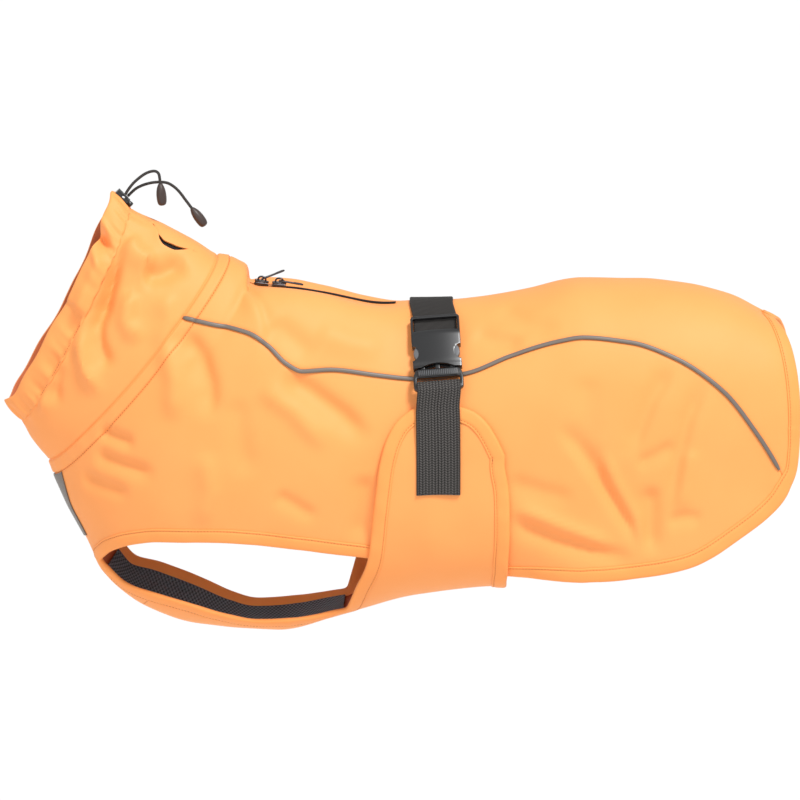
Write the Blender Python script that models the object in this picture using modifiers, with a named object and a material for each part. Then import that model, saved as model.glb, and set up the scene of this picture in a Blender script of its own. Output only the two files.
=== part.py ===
"""Dog raincoat, filled out as it is worn.

Sizes are in millimetres until a mesh is made. X runs from the head to the tail, Y from the wearer's
left to its right and Z up. The origin is the inner face of the back, under the webbing strap.

All the cloth lies on one surface, the skin. A place on it is a station, which counts the sections from
the collar's mouth to the tail, and an angle in degrees round the section: 0 at the centre back, -90 on
the left flank, 90 on the right and 180 at the centre front or the belly.
"""

import math
from collections import namedtuple
from functools import lru_cache

import bmesh
import bpy
from mathutils import Matrix, Vector

MM = 0.001

# One row for each section of the skin, seen from the left side.
Section = namedtuple(
    "Section", "station top_x top_z foot_x foot_z half_width bow top_power foot_power"
)
SECTIONS = [
    Section(0, -296, 106, -398, -92, 36, 8, 2.0, 2.0),
    Section(1, -280, 89, -382, -110, 46, 9, 2.0, 2.0),
    Section(2, -248, 74, -374, -126, 54, 11, 2.0, 1.95),
    Section(3, -218, 57, -365, -138, 60, 11, 2.0, 1.85),
    Section(4, -200, 46, -357, -148, 63, 12, 2.0, 1.8),
    Section(5, -188, 44, -352, -161, 66, 12, 2.0, 1.8),
    Section(6, -176, 36, -346, -176, 70, 12, 2.1, 1.85),
    Section(7, -169, 26, -340, -191, 73, 12, 2.2, 1.9),
    Section(8, -152, 29, -324, -221, 78, 10, 2.3, 1.9),
    Section(9, -130, 27, -309, -253, 83, 8, 2.3, 1.9),
    Section(10, -100, 21, -272, -286, 87, 6, 2.3, 1.9),
    Section(11, -62, 11, -216, -304, 89, 4, 2.2, 1.9),
    Section(12, -25, 3, -146, -307, 91, 2, 2.1, 1.95),
    Section(13, 8, 2, -76, -287, 92, 0, 2.0, 2.2),
    Section(14, 45, 5, -11, -268, 94, 0, 2.0, 2.7),
    Section(15, 91, 13, 69, -257, 95, 0, 2.1, 3.7),
    Section(16, 140, 23, 142, -284, 96, 0, 2.2, 5.0),
    Section(17, 193, 22, 199, -282, 94, 0, 2.2, 5.0),
    Section(18, 240, 17, 258, -266, 88, 3, 2.2, 5.0),
    Section(19, 275, 7, 301, -234, 80, 8, 2.2, 5.0),
    Section(20, 300, -6, 316, -202, 72, 15, 2.2, 5.0),
    Section(21, 315, -15, 316, -190, 63, 22, 2.2, 5.0),
]


class Smooth:
    """A smooth curve through (x, y) rows that never overshoots them."""

    def __init__(self, rows):
        self.xs = [float(row[0]) for row in rows]
        self.ys = [float(row[1]) for row in rows]
        rises = [
            (self.ys[i + 1] - self.ys[i]) / (self.xs[i + 1] - self.xs[i])
            for i in range(len(rows) - 1)
        ]
        self.slopes = [rises[0]]
        for before, after in zip(rises, rises[1:]):
            same_way = before * after > 0
            self.slopes.append(2 * before * after / (before + after) if same_way else 0.0)
        self.slopes.append(rises[-1])

    def __call__(self, x):
        i = 0
        while i < len(self.xs) - 2 and x > self.xs[i + 1]:
            i += 1
        width = self.xs[i + 1] - self.xs[i]
        t = (x - self.xs[i]) / width
        if t <= 0 or t >= 1:
            end = 0 if t <= 0 else 1
            return self.ys[i + end] + (t - end) * width * self.slopes[i + end]
        return (
            (1 + 2 * t) * (1 - t) ** 2 * self.ys[i]
            + t * (1 - t) ** 2 * width * self.slopes[i]
            + t * t * (3 - 2 * t) * self.ys[i + 1]
            + t * t * (t - 1) * width * self.slopes[i + 1]
        )


SECTION_CURVES = {
    field: Smooth([(row.station, getattr(row, field)) for row in SECTIONS])
    for field in Section._fields[1:]
}
# How deep the back sinks along the zip.
ZIP_DIP = Smooth([(6.3, 0), (8.2, 14), (11, 10), (12.5, 0), (13, 0)])
ZIP_DIP_FIRST = 6.3
ZIP_DIP_LAST = 12.5
ZIP_DIP_HALF_WIDTH = 26
# How far the buckle presses the cloth in, which way in Y and Z, and where.
BUCKLE_PRESS = 6.5
BUCKLE_PRESS_Y = 0.76
BUCKLE_PRESS_Z = -0.65
BUCKLE_PRESS_STATION = 13.2
BUCKLE_PRESS_ANGLE = -40.0
BUCKLE_PRESS_STATIONS = 1.2
BUCKLE_PRESS_DEGREES = 20.0


@lru_cache(maxsize=None)
def section(station):
    """The section at any station, between the rows of the table."""
    return {field: curve(station) for field, curve in SECTION_CURVES.items()}


@lru_cache(maxsize=None)
def bare_skin(station, angle):
    """The point of the skin at a station and an angle."""
    angle = (angle + 180) % 360 - 180
    row = section(station)
    up = math.radians(90 - abs(angle))
    power = row["top_power"] if up >= 0 else row["foot_power"]
    rise = math.copysign(abs(math.sin(up)) ** (2 / power), up)
    out = max(0.0, math.cos(up)) ** (2 / power)
    y = math.copysign(row["half_width"] * out, angle)
    dip = ZIP_DIP(station) if ZIP_DIP_FIRST < station < ZIP_DIP_LAST and up > 0 else 0.0
    dip *= math.exp(-((y / ZIP_DIP_HALF_WIDTH) ** 2))
    x = (row["top_x"] + row["foot_x"] + (row["top_x"] - row["foot_x"]) * rise) / 2 + row["bow"] * out
    z = (row["top_z"] + row["foot_z"] + (row["top_z"] - row["foot_z"]) * rise) / 2 - dip
    press = BUCKLE_PRESS * math.exp(
        -(((angle - BUCKLE_PRESS_ANGLE) / BUCKLE_PRESS_DEGREES) ** 2)
        - ((station - BUCKLE_PRESS_STATION) / BUCKLE_PRESS_STATIONS) ** 2
    )
    return Vector((x, y + press * BUCKLE_PRESS_Y, z + press * BUCKLE_PRESS_Z))


def normal(station, angle):
    """The way out of the skin, square to it."""
    step = 0.05
    along = bare_skin(station + step, angle) - bare_skin(station - step, angle)
    round_it = bare_skin(station, angle + 20 * step) - bare_skin(station, angle - 20 * step)
    return along.cross(round_it).normalized()


@lru_cache(maxsize=None)
def skin(station, angle, lift=0.0):
    """A point at a height above the skin."""
    return bare_skin(station, angle) + normal(station, angle) * lift


def bisect(height, low, high):
    """Where a function that falls from low to high is nought."""
    for _ in range(30):
        middle = (low + high) / 2
        low, high = (middle, high) if height(middle) > 0 else (low, middle)
    return (low + high) / 2


def seam_angle(station, seam, low=5.0, high=179.5):
    """The angle at which a section crosses a seam that is drawn from the side."""

    def above_seam(angle):
        point = bare_skin(station, angle)
        return point.z - seam(point.x)

    return bisect(above_seam, low, high)


def station_at(x, angle):
    """The station at which the skin passes x, at an angle."""
    return bisect(lambda station: x - bare_skin(station, angle).x, 0.0, 21.0)


def spot(x, z):
    """The station and the angle of a point that is drawn from the side, on the left flank."""
    angle = -bisect(lambda a: bare_skin(station_at(x, -a), -a).z - z, 2.0, 178.0)
    return station_at(x, angle), angle


# Seams and edges, drawn from the side as (x, z) rows.
PIPING = Smooth([
    (-229, -3), (-201, -9), (-171, -15), (-151, -26), (-134, -42), (-119, -49), (-95, -48),
    (-49, -53), (-16, -55), (30, -50), (74, -34), (117, -22), (138, -19), (181, -23),
    (224, -38), (267, -68), (300, -111), (321, -146),
])
LOWER_EDGE = Smooth([
    (-305, -231), (-293, -223), (-277, -216), (-252, -211), (-196, -209), (-122, -215),
    (-56, -224), (10, -235), (71, -242), (149, -243), (194, -239), (237, -231),
    (258, -221), (280, -206), (306, -187), (322, -172), (330, -157), (335, -145), (337, -120),
])
BIB_EDGE = Smooth([
    (-304, -246), (-285, -262), (-262, -268), (-238, -274), (-214, -281), (-190, -288),
    (-166, -292), (-123, -288), (-86, -281),
])
# How many degrees higher the bib's edge sits on the right.
RIGHT_BIB_RISE = Smooth([(8, 13), (8.7, 13), (9.5, 9), (10.5, 4), (12, 0)])
# The wing of the belly piece: where each row of it starts and stops, drawn from the side.
WingRow = namedtuple("WingRow", "front_x front_z rear_x rear_z")
WING_ROWS = [
    WingRow(-14, -82, 27, -81),
    WingRow(-24, -88, 38, -85),
    WingRow(-34, -97, 49, -94),
    WingRow(-43, -115, 59, -110),
    WingRow(-48, -135, 65, -130),
    WingRow(-51, -158, 69, -155),
    WingRow(-54, -184, 70, -184),
    WingRow(-56, -206, 70, -206),
    WingRow(-59, -226, 69, -225),
    WingRow(-64, -240, 69, -236),
    WingRow(-70, -253, 68, -243),
    WingRow(-75, -267, 68, -250),
]
WING_REAR_X = 68
# How far the rear ends of the belly rows run ahead of the front ones, as a share of the way.
WING_REAR_LEAD = 0.4

# Wall thicknesses and gaps.
CLOTH = 1.6
CASING_CLOTH = 2.2
LINING = 1.0
WEBBING = 1.8
SEAM_GAP = 0.5
LAYER_GAP = 0.4
LINING_GAP = 0.9
LINING_INSET = 3.0
BINDING_GAP = 1.2
FRONT_GAP = 0.9
BINDING = 1.0
BINDING_WIDTH = 12.0
WING_LIFT = 4.4
PIPING_RADIUS = 1.7
WEBBING_HALF_WIDTH = 20.0

# The angles at the neck seam of the two lines that lead to the leg opening's corners.
NECK_EDGE_ANGLE = 112.0
NECK_BIB_ANGLE = 148.0

# Stations of the main lines.
MOUTH = 0.0
CASING_SEAM = 1.0
NECK_SEAM = 4.0
OPENING_TIP = 8.7
BIB_SEAM = 10.0
BIB_END = 12.9
PIPING_START = 4.1
PIPING_END = 19.55
TAIL = 21.0
ZIP_FRONT = 7.0
ZIP_REAR = 11.8
ZIP_SLOT_HALF_WIDTH = 2.6
LINING_FRONT_STATIONS = [9.05, 9.5]
# Where the leg opening's binding ends and the hem's starts, hidden under the wing.
LEG_BINDING_END = 13.15
HEM_BINDING_START = 13.25
COLLAR_STATIONS = [1, 1.4, 1.8, 2.2, 2.6, 3, 3.5, 4]
CASING_STATIONS = [0, 0.35, 0.7, 1]
# The columns and the row of the collar's cells that are left open as its slit.
SLIT_COLUMNS = (2, 3, 4)
SLIT_ROW = 10
SLIT_ANGLES = [-27, -17]
PATCH_ANGLES = [-52, -36, *SLIT_ANGLES, -5, 10.4]

YOKE_STATIONS = [4, 4.5, 5, 5.5, 6, 6.5, 7, 7.5, 8, 8.5, 9, 9.5, 10, 10.5, 11, 11.4, 11.8, 12.4]
YOKE_STATIONS += [13 + 0.5 * i for i in range(14)] + [20, 20.3, 20.6, 21]
SIDE_STATIONS = [4, 4.5, 5, 5.5, 6, 6.5, 7, 7.5, 8, 8.4, 8.7, 8.8, 9.05, 9.5, 10, 10.5, 11, 11.5]
SIDE_STATIONS += [12, 12.5] + [13 + 0.5 * i for i in range(14)] + [19.85]

COLOURS = {
    "shell cloth": ((1.0, 0.46, 0.13), 0.55, 0.0),
    "lining mesh": ((0.02, 0.017, 0.018), 0.7, 0.0),
    "grey reflective tape": ((0.21, 0.18, 0.15), 0.45, 0.0),
    "black webbing": ((0.06, 0.055, 0.05), 0.75, 0.0),
    "grey plastic": ((0.1, 0.1, 0.105), 0.4, 0.0),
    "zip metal": ((0.16, 0.14, 0.15), 0.3, 0.9),
    "elastic cord": ((0.05, 0.045, 0.045), 0.7, 0.0),
}


# Shared builders


def collection():
    """The collection that holds the coat."""
    found = bpy.data.collections.get("dog_raincoat")
    if found is None:
        found = bpy.data.collections.new("dog_raincoat")
        bpy.context.scene.collection.children.link(found)
    return found


def cutters():
    """The collection that holds the cutters."""
    found = bpy.data.collections.get("cutters")
    if found is None:
        found = bpy.data.collections.new("cutters")
        bpy.context.scene.collection.children.link(found)
    return found


def material(name):
    """A material by name, made when it is first asked for."""
    found = bpy.data.materials.get(name)
    if found is None:
        colour, roughness, metallic = COLOURS[name]
        found = bpy.data.materials.new(name)
        found.use_nodes = True
        shader = found.node_tree.nodes["Principled BSDF"]
        shader.inputs["Base Color"].default_value = (*colour, 1.0)
        shader.inputs["Roughness"].default_value = roughness
        shader.inputs["Metallic"].default_value = metallic
    return found


def link_object(name, data, finish):
    """Put new data into the coat's collection under its node name."""
    obj = bpy.data.objects.new(name, data)
    data.materials.append(material(finish))
    collection().objects.link(obj)
    return obj


def sheet(name, grids, finish, wall, weld=False):
    """Make a cloth wall from grids of points in millimetres, its outer face on the points.

    Each grid is (columns, holes). The columns run to the tail and their points run from the left over
    the back to the right, or the other way round on the belly, so that the faces point out. A hole is
    the (column, row) of a cell that is left open.
    """
    mesh = bpy.data.meshes.new(name)
    bm = bmesh.new()
    for columns, holes in grids:
        corners = {}
        for i in range(len(columns) - 1):
            for j in range(len(columns[0]) - 1):
                if (i, j) in holes:
                    continue
                face = []
                for key in ((i, j), (i + 1, j), (i + 1, j + 1), (i, j + 1)):
                    if key not in corners:
                        corners[key] = bm.verts.new(columns[key[0]][key[1]] * MM)
                    face.append(corners[key])
                bm.faces.new(face)
    if weld:
        bmesh.ops.remove_doubles(bm, verts=bm.verts, dist=0.00001)
    bmesh.ops.triangulate(bm, faces=bm.faces)
    bm.to_mesh(mesh)
    bm.free()
    obj = link_object(name, mesh, finish)
    solidify = obj.modifiers.new("wall", "SOLIDIFY")
    solidify.thickness = wall * MM
    solidify.offset = -1
    mesh.shade_smooth()
    return obj


def nudged(place, toward, distance):
    """A place moved some millimetres towards another."""
    reach = (skin(*place) - skin(*toward)).length
    share = distance / reach if reach > distance else 0.0
    return tuple(a + (b - a) * share for a, b in zip(place, toward))


def trimmed(grid, front=0.0, rear=0.0, low=0.0, high=0.0):
    """A grid of places with its edges drawn in by some millimetres.

    The low edge is each column's first place and the high edge its last.
    """
    grid = [list(column) for column in grid]
    if front:
        grid[0] = [nudged(a, b, front) for a, b in zip(grid[0], grid[1])]
    if rear:
        grid[-1] = [nudged(a, b, rear) for a, b in zip(grid[-1], grid[-2])]
    for column in grid:
        if low:
            column[0] = nudged(column[0], column[1], low)
        if high:
            column[-1] = nudged(column[-1], column[-2], high)
    return grid


def points(grid):
    """The points of a grid of places."""
    return [[skin(*place) for place in column] for column in grid]


def spread(first, last, count):
    """Evenly spaced numbers, both ends among them."""
    return [first + (last - first) * i / count for i in range(count + 1)]


# Body panels


def piping_angle(station):
    """The angle of the yoke seam."""
    return seam_angle(station, PIPING)


def lower_angle(station):
    """The angle of the body's lower edge: the leg opening and then the hem."""
    return seam_angle(station, LOWER_EDGE, low=60.0)


def bib_angle(station, side=-1):
    """The angle of the bib's edge, which sits a little higher on the right."""
    rise = RIGHT_BIB_RISE(station) if side > 0 and station < 12 else 0.0
    return seam_angle(station, BIB_EDGE, low=100.0) - rise


def make_yoke():
    """The back yoke, with the slot for the zip."""
    across = [1, 0.86, 0.72, 0.58, 0.44, 0.3, 0.15]
    grid = []
    for station in YOKE_STATIONS:
        edge = min(piping_angle(station), lower_angle(station))
        row = section(station)
        slot = math.degrees(
            math.asin((ZIP_SLOT_HALF_WIDTH / row["half_width"]) ** (row["top_power"] / 2))
        )
        half = [edge * share for share in across] + [slot]
        grid.append([(station, a, 0.0) for a in [-h for h in half] + half[::-1]])
    middle = len(across)
    holes = {
        (i, middle)
        for i, station in enumerate(YOKE_STATIONS)
        if ZIP_FRONT <= station < ZIP_REAR
    }
    gap = SEAM_GAP / 2
    grid = trimmed(grid, front=gap, low=gap, high=gap)
    sheet("back_yoke", [(points(grid), holes)], "shell cloth", CLOTH)


def side_column(station, side):
    """The places down one flank at a station, from the yoke seam to the centre front."""
    top = piping_angle(station)
    if station <= OPENING_TIP:
        share = (station - NECK_SEAM) / (OPENING_TIP - NECK_SEAM)
        edge = NECK_EDGE_ANGLE + (lower_angle(OPENING_TIP) - NECK_EDGE_ANGLE) * share
        bib = NECK_BIB_ANGLE + (bib_angle(OPENING_TIP, side) - NECK_BIB_ANGLE) * share
    else:
        edge = lower_angle(station)
        bib = bib_angle(station, side) if station <= BIB_SEAM else 180.0
    reach = (bare_skin(station, edge) - bare_skin(station, edge - 5)).length
    bound = edge - 5 * min(BINDING_WIDTH / reach, (edge - top) / 15)
    angles = spread(top, bound, 6) + spread(edge, bib, 2) + spread(bib, 180.0, 3)[1:]
    return [(station, angle * side, 0.0) for angle in angles]


def make_side(name, side):
    """One side panel: shoulder, half chest and flank."""
    gap = SEAM_GAP / 2
    grid = [side_column(station, side) for station in SIDE_STATIONS]
    holes = set()
    for i, station in enumerate(SIDE_STATIONS):
        if station >= OPENING_TIP:
            holes |= {(i, 7), (i, 8)}
        if station >= BIB_SEAM:
            holes |= {(i, 9), (i, 10), (i, 11)}
    grid = trimmed(grid, front=gap, low=gap, high=FRONT_GAP)
    seam = SIDE_STATIONS.index(BIB_SEAM)
    for j in (9, 10, 11, 12):
        grid[seam][j] = nudged(grid[seam][j], grid[seam - 1][j], gap)
    if side < 0:
        grid = [column[::-1] for column in grid]
        holes = {(i, 11 - j) for i, j in holes}
    sheet(name, [(points(grid), holes)], "shell cloth", CLOTH)


def make_collar():
    """The collar tube, with the short slit beside its centre back."""
    angles = spread(-180, PATCH_ANGLES[1], 9) + SLIT_ANGLES + spread(PATCH_ANGLES[-2], 180, 12)
    grid = [[(station, angle, 0.0) for angle in angles] for station in COLLAR_STATIONS]
    grid = trimmed(grid, front=SEAM_GAP / 2, rear=SEAM_GAP / 2)
    slit = {(column, SLIT_ROW) for column in SLIT_COLUMNS}
    sheet("collar", [(points(grid), slit)], "shell cloth", CLOTH, weld=True)
    patch = [
        [(station, angle, -CLOTH - LINING_GAP) for angle in PATCH_ANGLES]
        for station in COLLAR_STATIONS[1:-1]
    ]
    sheet("lining_collar", [(points(patch), set())], "lining mesh", LINING)


def make_casing():
    """The cord casing: the collar's turned mouth, drawn in a little by the cord."""
    angles = spread(-180, 180, 24)
    grid = [[(station, angle, 0.0) for angle in angles] for station in CASING_STATIONS]
    grid = trimmed(grid, rear=SEAM_GAP / 2)
    sheet("cord_casing", [(points(grid), set())], "shell cloth", CASING_CLOTH, weld=True)


# Belly piece


def belly_lift(station):
    """How far the belly piece stands off the skin: nought at the bib seam, full under the wings."""
    share = min(1.0, max(0.0, (station - BIB_SEAM) / (BIB_END - BIB_SEAM)))
    return WING_LIFT * share * share * (3 - 2 * share)


def bib_grid(stations, drop=0.0):
    """Places of the bib at some stations, from its right edge under the belly to its left."""
    grid = []
    for station in stations:
        angles = spread(bib_angle(station, 1) - 360, -180, 3) + spread(-180, -bib_angle(station), 3)[1:]
        grid.append([(station, angle, belly_lift(station) - drop) for angle in angles])
    return grid


def wing_grid():
    """Places of both wings and the belly between them, from the right wing's top to the left one's."""
    bib_edge = bib_angle(BIB_END)
    rear_edge = -spot(WING_ROWS[-1].rear_x, WING_ROWS[-1].rear_z)[1]
    left = []
    for row in WING_ROWS:
        left.append((spot(row.front_x, row.front_z), spot(row.rear_x, row.rear_z)))
    for share in (0.0, 1 / 3, 2 / 3):
        angle = -(bib_edge + (180 - bib_edge) * share)
        rear = -(rear_edge + (180 - rear_edge) * (share + WING_REAR_LEAD) / (1 + WING_REAR_LEAD))
        left.append(((BIB_END, angle), (station_at(WING_REAR_X, rear), rear)))
    middle = ((BIB_END, -180.0), (station_at(WING_REAR_X, 180.0), -180.0))
    right = [((s1, -360 - a1), (s2, -360 - a2)) for (s1, a1), (s2, a2) in left]
    rows = right + [middle] + left[::-1]
    grid = []
    for share in spread(0.0, 1.0, 8):
        grid.append([
            (s1 + (s2 - s1) * share, a1 + (a2 - a1) * share, WING_LIFT)
            for (s1, a1), (s2, a2) in rows
        ])
    return grid


def make_belly():
    """The bib and the two wings, cut in one, and the mesh lining inside the bib."""
    gap = SEAM_GAP / 2
    bib = trimmed(bib_grid(spread(BIB_SEAM, BIB_END, 6)), front=gap)
    sheet(
        "belly_piece", [(points(bib), set()), (points(wing_grid()), set())], "shell cloth", CLOTH,
        weld=True,
    )
    stations = LINING_FRONT_STATIONS + spread(BIB_SEAM, BIB_END, 6)
    lining = bib_grid(stations, drop=CLOTH + LINING_GAP)
    lining = trimmed(lining, low=LINING_INSET, high=LINING_INSET)
    sheet("lining_belly", [(points(lining), set())], "lining mesh", LINING)


# Bindings, piping and the chest strip


def moved_in(place, before, after, distance, turn):
    """A place moved across the skin, square to the edge that passes through it."""
    station, angle, lift = place
    step = 0.02
    by_station = (bare_skin(station + step, angle) - bare_skin(station - step, angle)) / (2 * step)
    by_angle = (bare_skin(station, angle + 1) - bare_skin(station, angle - 1)) / 2
    along = (skin(*after) - skin(*before)).normalized()
    way = normal(station, angle).cross(along) * turn * distance
    a, b, c = by_station.dot(by_station), by_station.dot(by_angle), by_angle.dot(by_angle)
    d, e = way.dot(by_station), way.dot(by_angle)
    span = a * c - b * b
    return station + (d * c - e * b) / span, angle + (a * e - b * d) / span, lift


def make_binding(name, edge, turn):
    """A folded tape along an edge, on the outside of the cloth."""
    edge = [(station, angle, lift + BINDING_GAP + BINDING) for station, angle, lift in edge]
    inner = []
    for i, place in enumerate(edge):
        before, after = edge[max(0, i - 1)], edge[min(len(edge) - 1, i + 1)]
        inner.append(moved_in(place, before, after, BINDING_WIDTH, turn))
    columns = [list(pair) for pair in zip(edge, inner)]
    if turn < 0:
        columns = [pair[::-1] for pair in columns]
    sheet(name, [(points(columns), set())], "shell cloth", BINDING)


def leg_edge(side):
    """The places round a leg opening, from the bib seam forward and back along the body's edge."""
    edge = [(s, bib_angle(s, side) * side, 0.0) for s in (9.9, 9.5, 9.05)]
    tip_low, tip_high = bib_angle(OPENING_TIP, side), lower_angle(OPENING_TIP)
    edge += [(OPENING_TIP, a * side, 0.0) for a in (tip_low, (tip_low + tip_high) / 2, tip_high)]
    over = [s for s in SIDE_STATIONS if OPENING_TIP < s < LEG_BINDING_END] + [LEG_BINDING_END]
    edge += [(s, lower_angle(s) * side, 0.0) for s in over]
    return edge


def hem_edge(side):
    """The places along the hem, from the wing to the tail's centre."""
    stations = [HEM_BINDING_START] + [s for s in SIDE_STATIONS if HEM_BINDING_START < s < 19.8]
    stations += [20, 20.3, 20.6, TAIL]
    edge = [(s, lower_angle(s) * side, 0.0) for s in stations]
    tail = lower_angle(TAIL)
    edge += [(TAIL, tail * share * side, 0.0) for share in (0.86, 0.72, 0.58, 0.44, 0.3, 0.15, 0.01)]
    return edge


def wing_edge(side):
    """The places round a wing, from the bib's front up the wing and down its rear edge."""
    edge = [(s, -bib_angle(s, side), belly_lift(s)) for s in spread(BIB_SEAM, BIB_END, 6)]
    edge[0] = nudged(edge[0], edge[1], 1.0)
    grid = wing_grid()
    centre = len(grid[0]) // 2
    edge += grid[0][-len(WING_ROWS):]
    edge += [column[-1] for column in grid[2:-1:2]]
    edge += grid[-1][:centre:-1]
    edge.append(nudged(grid[-1][centre], grid[-1][centre + 1], FRONT_GAP))
    if side > 0:
        edge = [(station, -angle, lift) for station, angle, lift in edge]
    return edge


def make_piping(name, side):
    """The grey piping in a yoke seam."""
    stations = spread(PIPING_START, PIPING_END, 33)
    lift = PIPING_RADIUS + LAYER_GAP
    path = [skin(station, piping_angle(station) * side, lift) for station in stations]
    tube(name, path, PIPING_RADIUS, "grey reflective tape", sides=0)


def make_chest_strip():
    """The plain grey strip down the centre front."""
    grid = []
    for station in SIDE_STATIONS[2:9]:
        left = [(s, angle, LINING_GAP + BINDING) for s, angle, _ in side_column(station, -1)[-3:]]
        right = [(s, -360 - angle, lift) for s, angle, lift in left[:-1]]
        grid.append(right + left[::-1])
    sheet("chest_strip", [(points(grid), set())], "grey reflective tape", BINDING)


def tube(name, path, radius, finish, sides=2):
    """A round tube along points in millimetres."""
    curve = bpy.data.curves.new(name, "CURVE")
    curve.dimensions = "3D"
    curve.bevel_depth = radius * MM
    curve.bevel_resolution = sides
    curve.use_fill_caps = True
    spline = curve.splines.new("POLY")
    spline.points.add(len(path) - 1)
    for knot, point in zip(spline.points, path):
        knot.co = (*(point * MM), 1.0)
    return link_object(name, curve, finish)


# Webbing and buckle

STRAP_X = -0.5
BUCKLE_X = 4.5
BUCKLE_TOP_ANGLE = -22.0
BUCKLE_FOOT_ANGLE = -60.0
BUCKLE_OFF_SKIN = 5.2
BUCKLE_LENGTH = 74.0
# How the strap's outer face stands off the skin, from its near end over the back to the far wing.
StrapRow = namedtuple("StrapRow", "angle lift")
STRAP_OVER_ROWS = [
    StrapRow(-15, 4.6), StrapRow(-9, 3.2), StrapRow(0, 2.8), StrapRow(9, 2.7), StrapRow(18, 2.7),
    StrapRow(27, 3.0), StrapRow(36, 4.4), StrapRow(45, 6.8), StrapRow(53, 8.6), StrapRow(60, 9.5),
    StrapRow(68, 9.7), StrapRow(76, 9.0), StrapRow(86, 7.6), StrapRow(96, 7.4),
]
STRAP_LOWER_ROWS = [
    StrapRow(-96.6, 7.1), StrapRow(-90, 7.1), StrapRow(-83, 7.2), StrapRow(-76, 8.2),
    StrapRow(-71, 9.2), StrapRow(-67, 10.2),
]


def strap_row(x, row):
    """The three points of a strap's outer face across its width."""
    return [
        skin(station_at(x + across, row.angle), row.angle, row.lift)
        for across in (-WEBBING_HALF_WIDTH, 0.0, WEBBING_HALF_WIDTH)
    ]


def buckle_frame():
    """The buckle's own axes: X across, Y up the strap from its lower end, Z off the body."""
    top = skin(station_at(BUCKLE_X - 2, BUCKLE_TOP_ANGLE), BUCKLE_TOP_ANGLE)
    foot = skin(station_at(BUCKLE_X + 2, BUCKLE_FOOT_ANGLE), BUCKLE_FOOT_ANGLE)
    up = (top - foot).normalized()
    angle = (BUCKLE_TOP_ANGLE + BUCKLE_FOOT_ANGLE) / 2
    front, rear = (skin(station_at(BUCKLE_X + x, angle), angle) for x in (-25, 25))
    out = (rear - front).cross(up).normalized()
    across = up.cross(out)
    origin = (top + foot - up * BUCKLE_LENGTH) / 2 + out * BUCKLE_OFF_SKIN
    frame = Matrix((across, up, out)).transposed().to_4x4()
    frame.translation = origin
    return frame


def placed(obj, frame):
    """Put an object where its own axes say, in millimetres."""
    location, rotation, _ = frame.decompose()
    obj.location = location * MM
    obj.rotation_euler = rotation.to_euler()
    return obj


def make_straps():
    """The strap over the back and the lower strap, sewn on the left wing."""
    frame = buckle_frame()

    def on_buckle(y, z):
        return [frame @ Vector((x, y, z)) for x in (-WEBBING_HALF_WIDTH, 0, WEBBING_HALF_WIDTH)]

    rows = [on_buckle(58.0, 2.1), on_buckle(66.0, 2.1), on_buckle(75.0, 2.1)]
    rows += [strap_row(STRAP_X, row) for row in STRAP_OVER_ROWS]
    sheet("strap_over", [([list(c) for c in zip(*rows)], set())], "black webbing", WEBBING)
    rows = [strap_row(BUCKLE_X + 1, row) for row in STRAP_LOWER_ROWS]
    rows += [on_buckle(-5.0, 9.6), on_buckle(-1.0, 10.4), on_buckle(5.0, 10.4)]
    sheet("strap_lower", [([list(c) for c in zip(*rows)], set())], "black webbing", WEBBING)


def block(name, low, high, finish=None, bevel=0.0):
    """A box between two corners in millimetres, as a part or, with no finish, as a cutter."""
    mesh = bpy.data.meshes.new(name)
    bm = bmesh.new()
    bmesh.ops.create_cube(bm, size=1.0)
    low, high = Vector(low), Vector(high)
    size = (high - low) * MM
    bmesh.ops.scale(bm, vec=size, verts=bm.verts)
    bmesh.ops.translate(bm, vec=(low + high) / 2 * MM, verts=bm.verts)
    bm.to_mesh(mesh)
    bm.free()
    if finish:
        obj = link_object(name, mesh, finish)
    else:
        obj = bpy.data.objects.new(name, mesh)
        cutters().objects.link(obj)
        obj.hide_render = True
        obj.display_type = "WIRE"
    if bevel:
        edges = obj.modifiers.new("edges", "BEVEL")
        edges.width = bevel * MM
        edges.segments = 2
    return obj


def drum(name, centre, radius, depth, axis="Z"):
    """A cylinder for cutting or joining, its axis along Z or X."""
    mesh = bpy.data.meshes.new(name)
    bm = bmesh.new()
    bmesh.ops.create_cone(
        bm, cap_ends=True, segments=16, radius1=radius * MM, radius2=radius * MM, depth=depth * MM
    )
    if axis == "X":
        bmesh.ops.rotate(bm, verts=bm.verts, matrix=Matrix.Rotation(math.pi / 2, 3, "Y"))
    bmesh.ops.translate(bm, vec=Vector(centre) * MM, verts=bm.verts)
    bm.to_mesh(mesh)
    bm.free()
    obj = bpy.data.objects.new(name, mesh)
    cutters().objects.link(obj)
    obj.hide_render = True
    obj.display_type = "WIRE"
    return obj


def combine(obj, other, operation):
    """Cut another solid out of an object, or join it on. The other follows the object."""
    other.parent = obj
    modifier = obj.modifiers.new(other.name, "BOOLEAN")
    modifier.operation = operation
    modifier.object = other
    return obj


def plate(name, outlines, thickness, finish):
    """A flat piece from closed outlines in millimetres: the first is its edge, the others its holes."""
    curve = bpy.data.curves.new(name, "CURVE")
    curve.dimensions = "2D"
    curve.fill_mode = "BOTH"
    curve.extrude = thickness / 2 * MM
    for outline in outlines:
        spline = curve.splines.new("POLY")
        spline.points.add(len(outline) - 1)
        spline.use_cyclic_u = True
        for knot, (x, y) in zip(spline.points, outline):
            knot.co = (x * MM, y * MM, 0.0, 1.0)
    return link_object(name, curve, finish)


def rectangle(x1, y1, x2, y2):
    """The outline of a rectangle."""
    return [(x1, y1), (x2, y1), (x2, y2), (x1, y2)]


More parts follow.
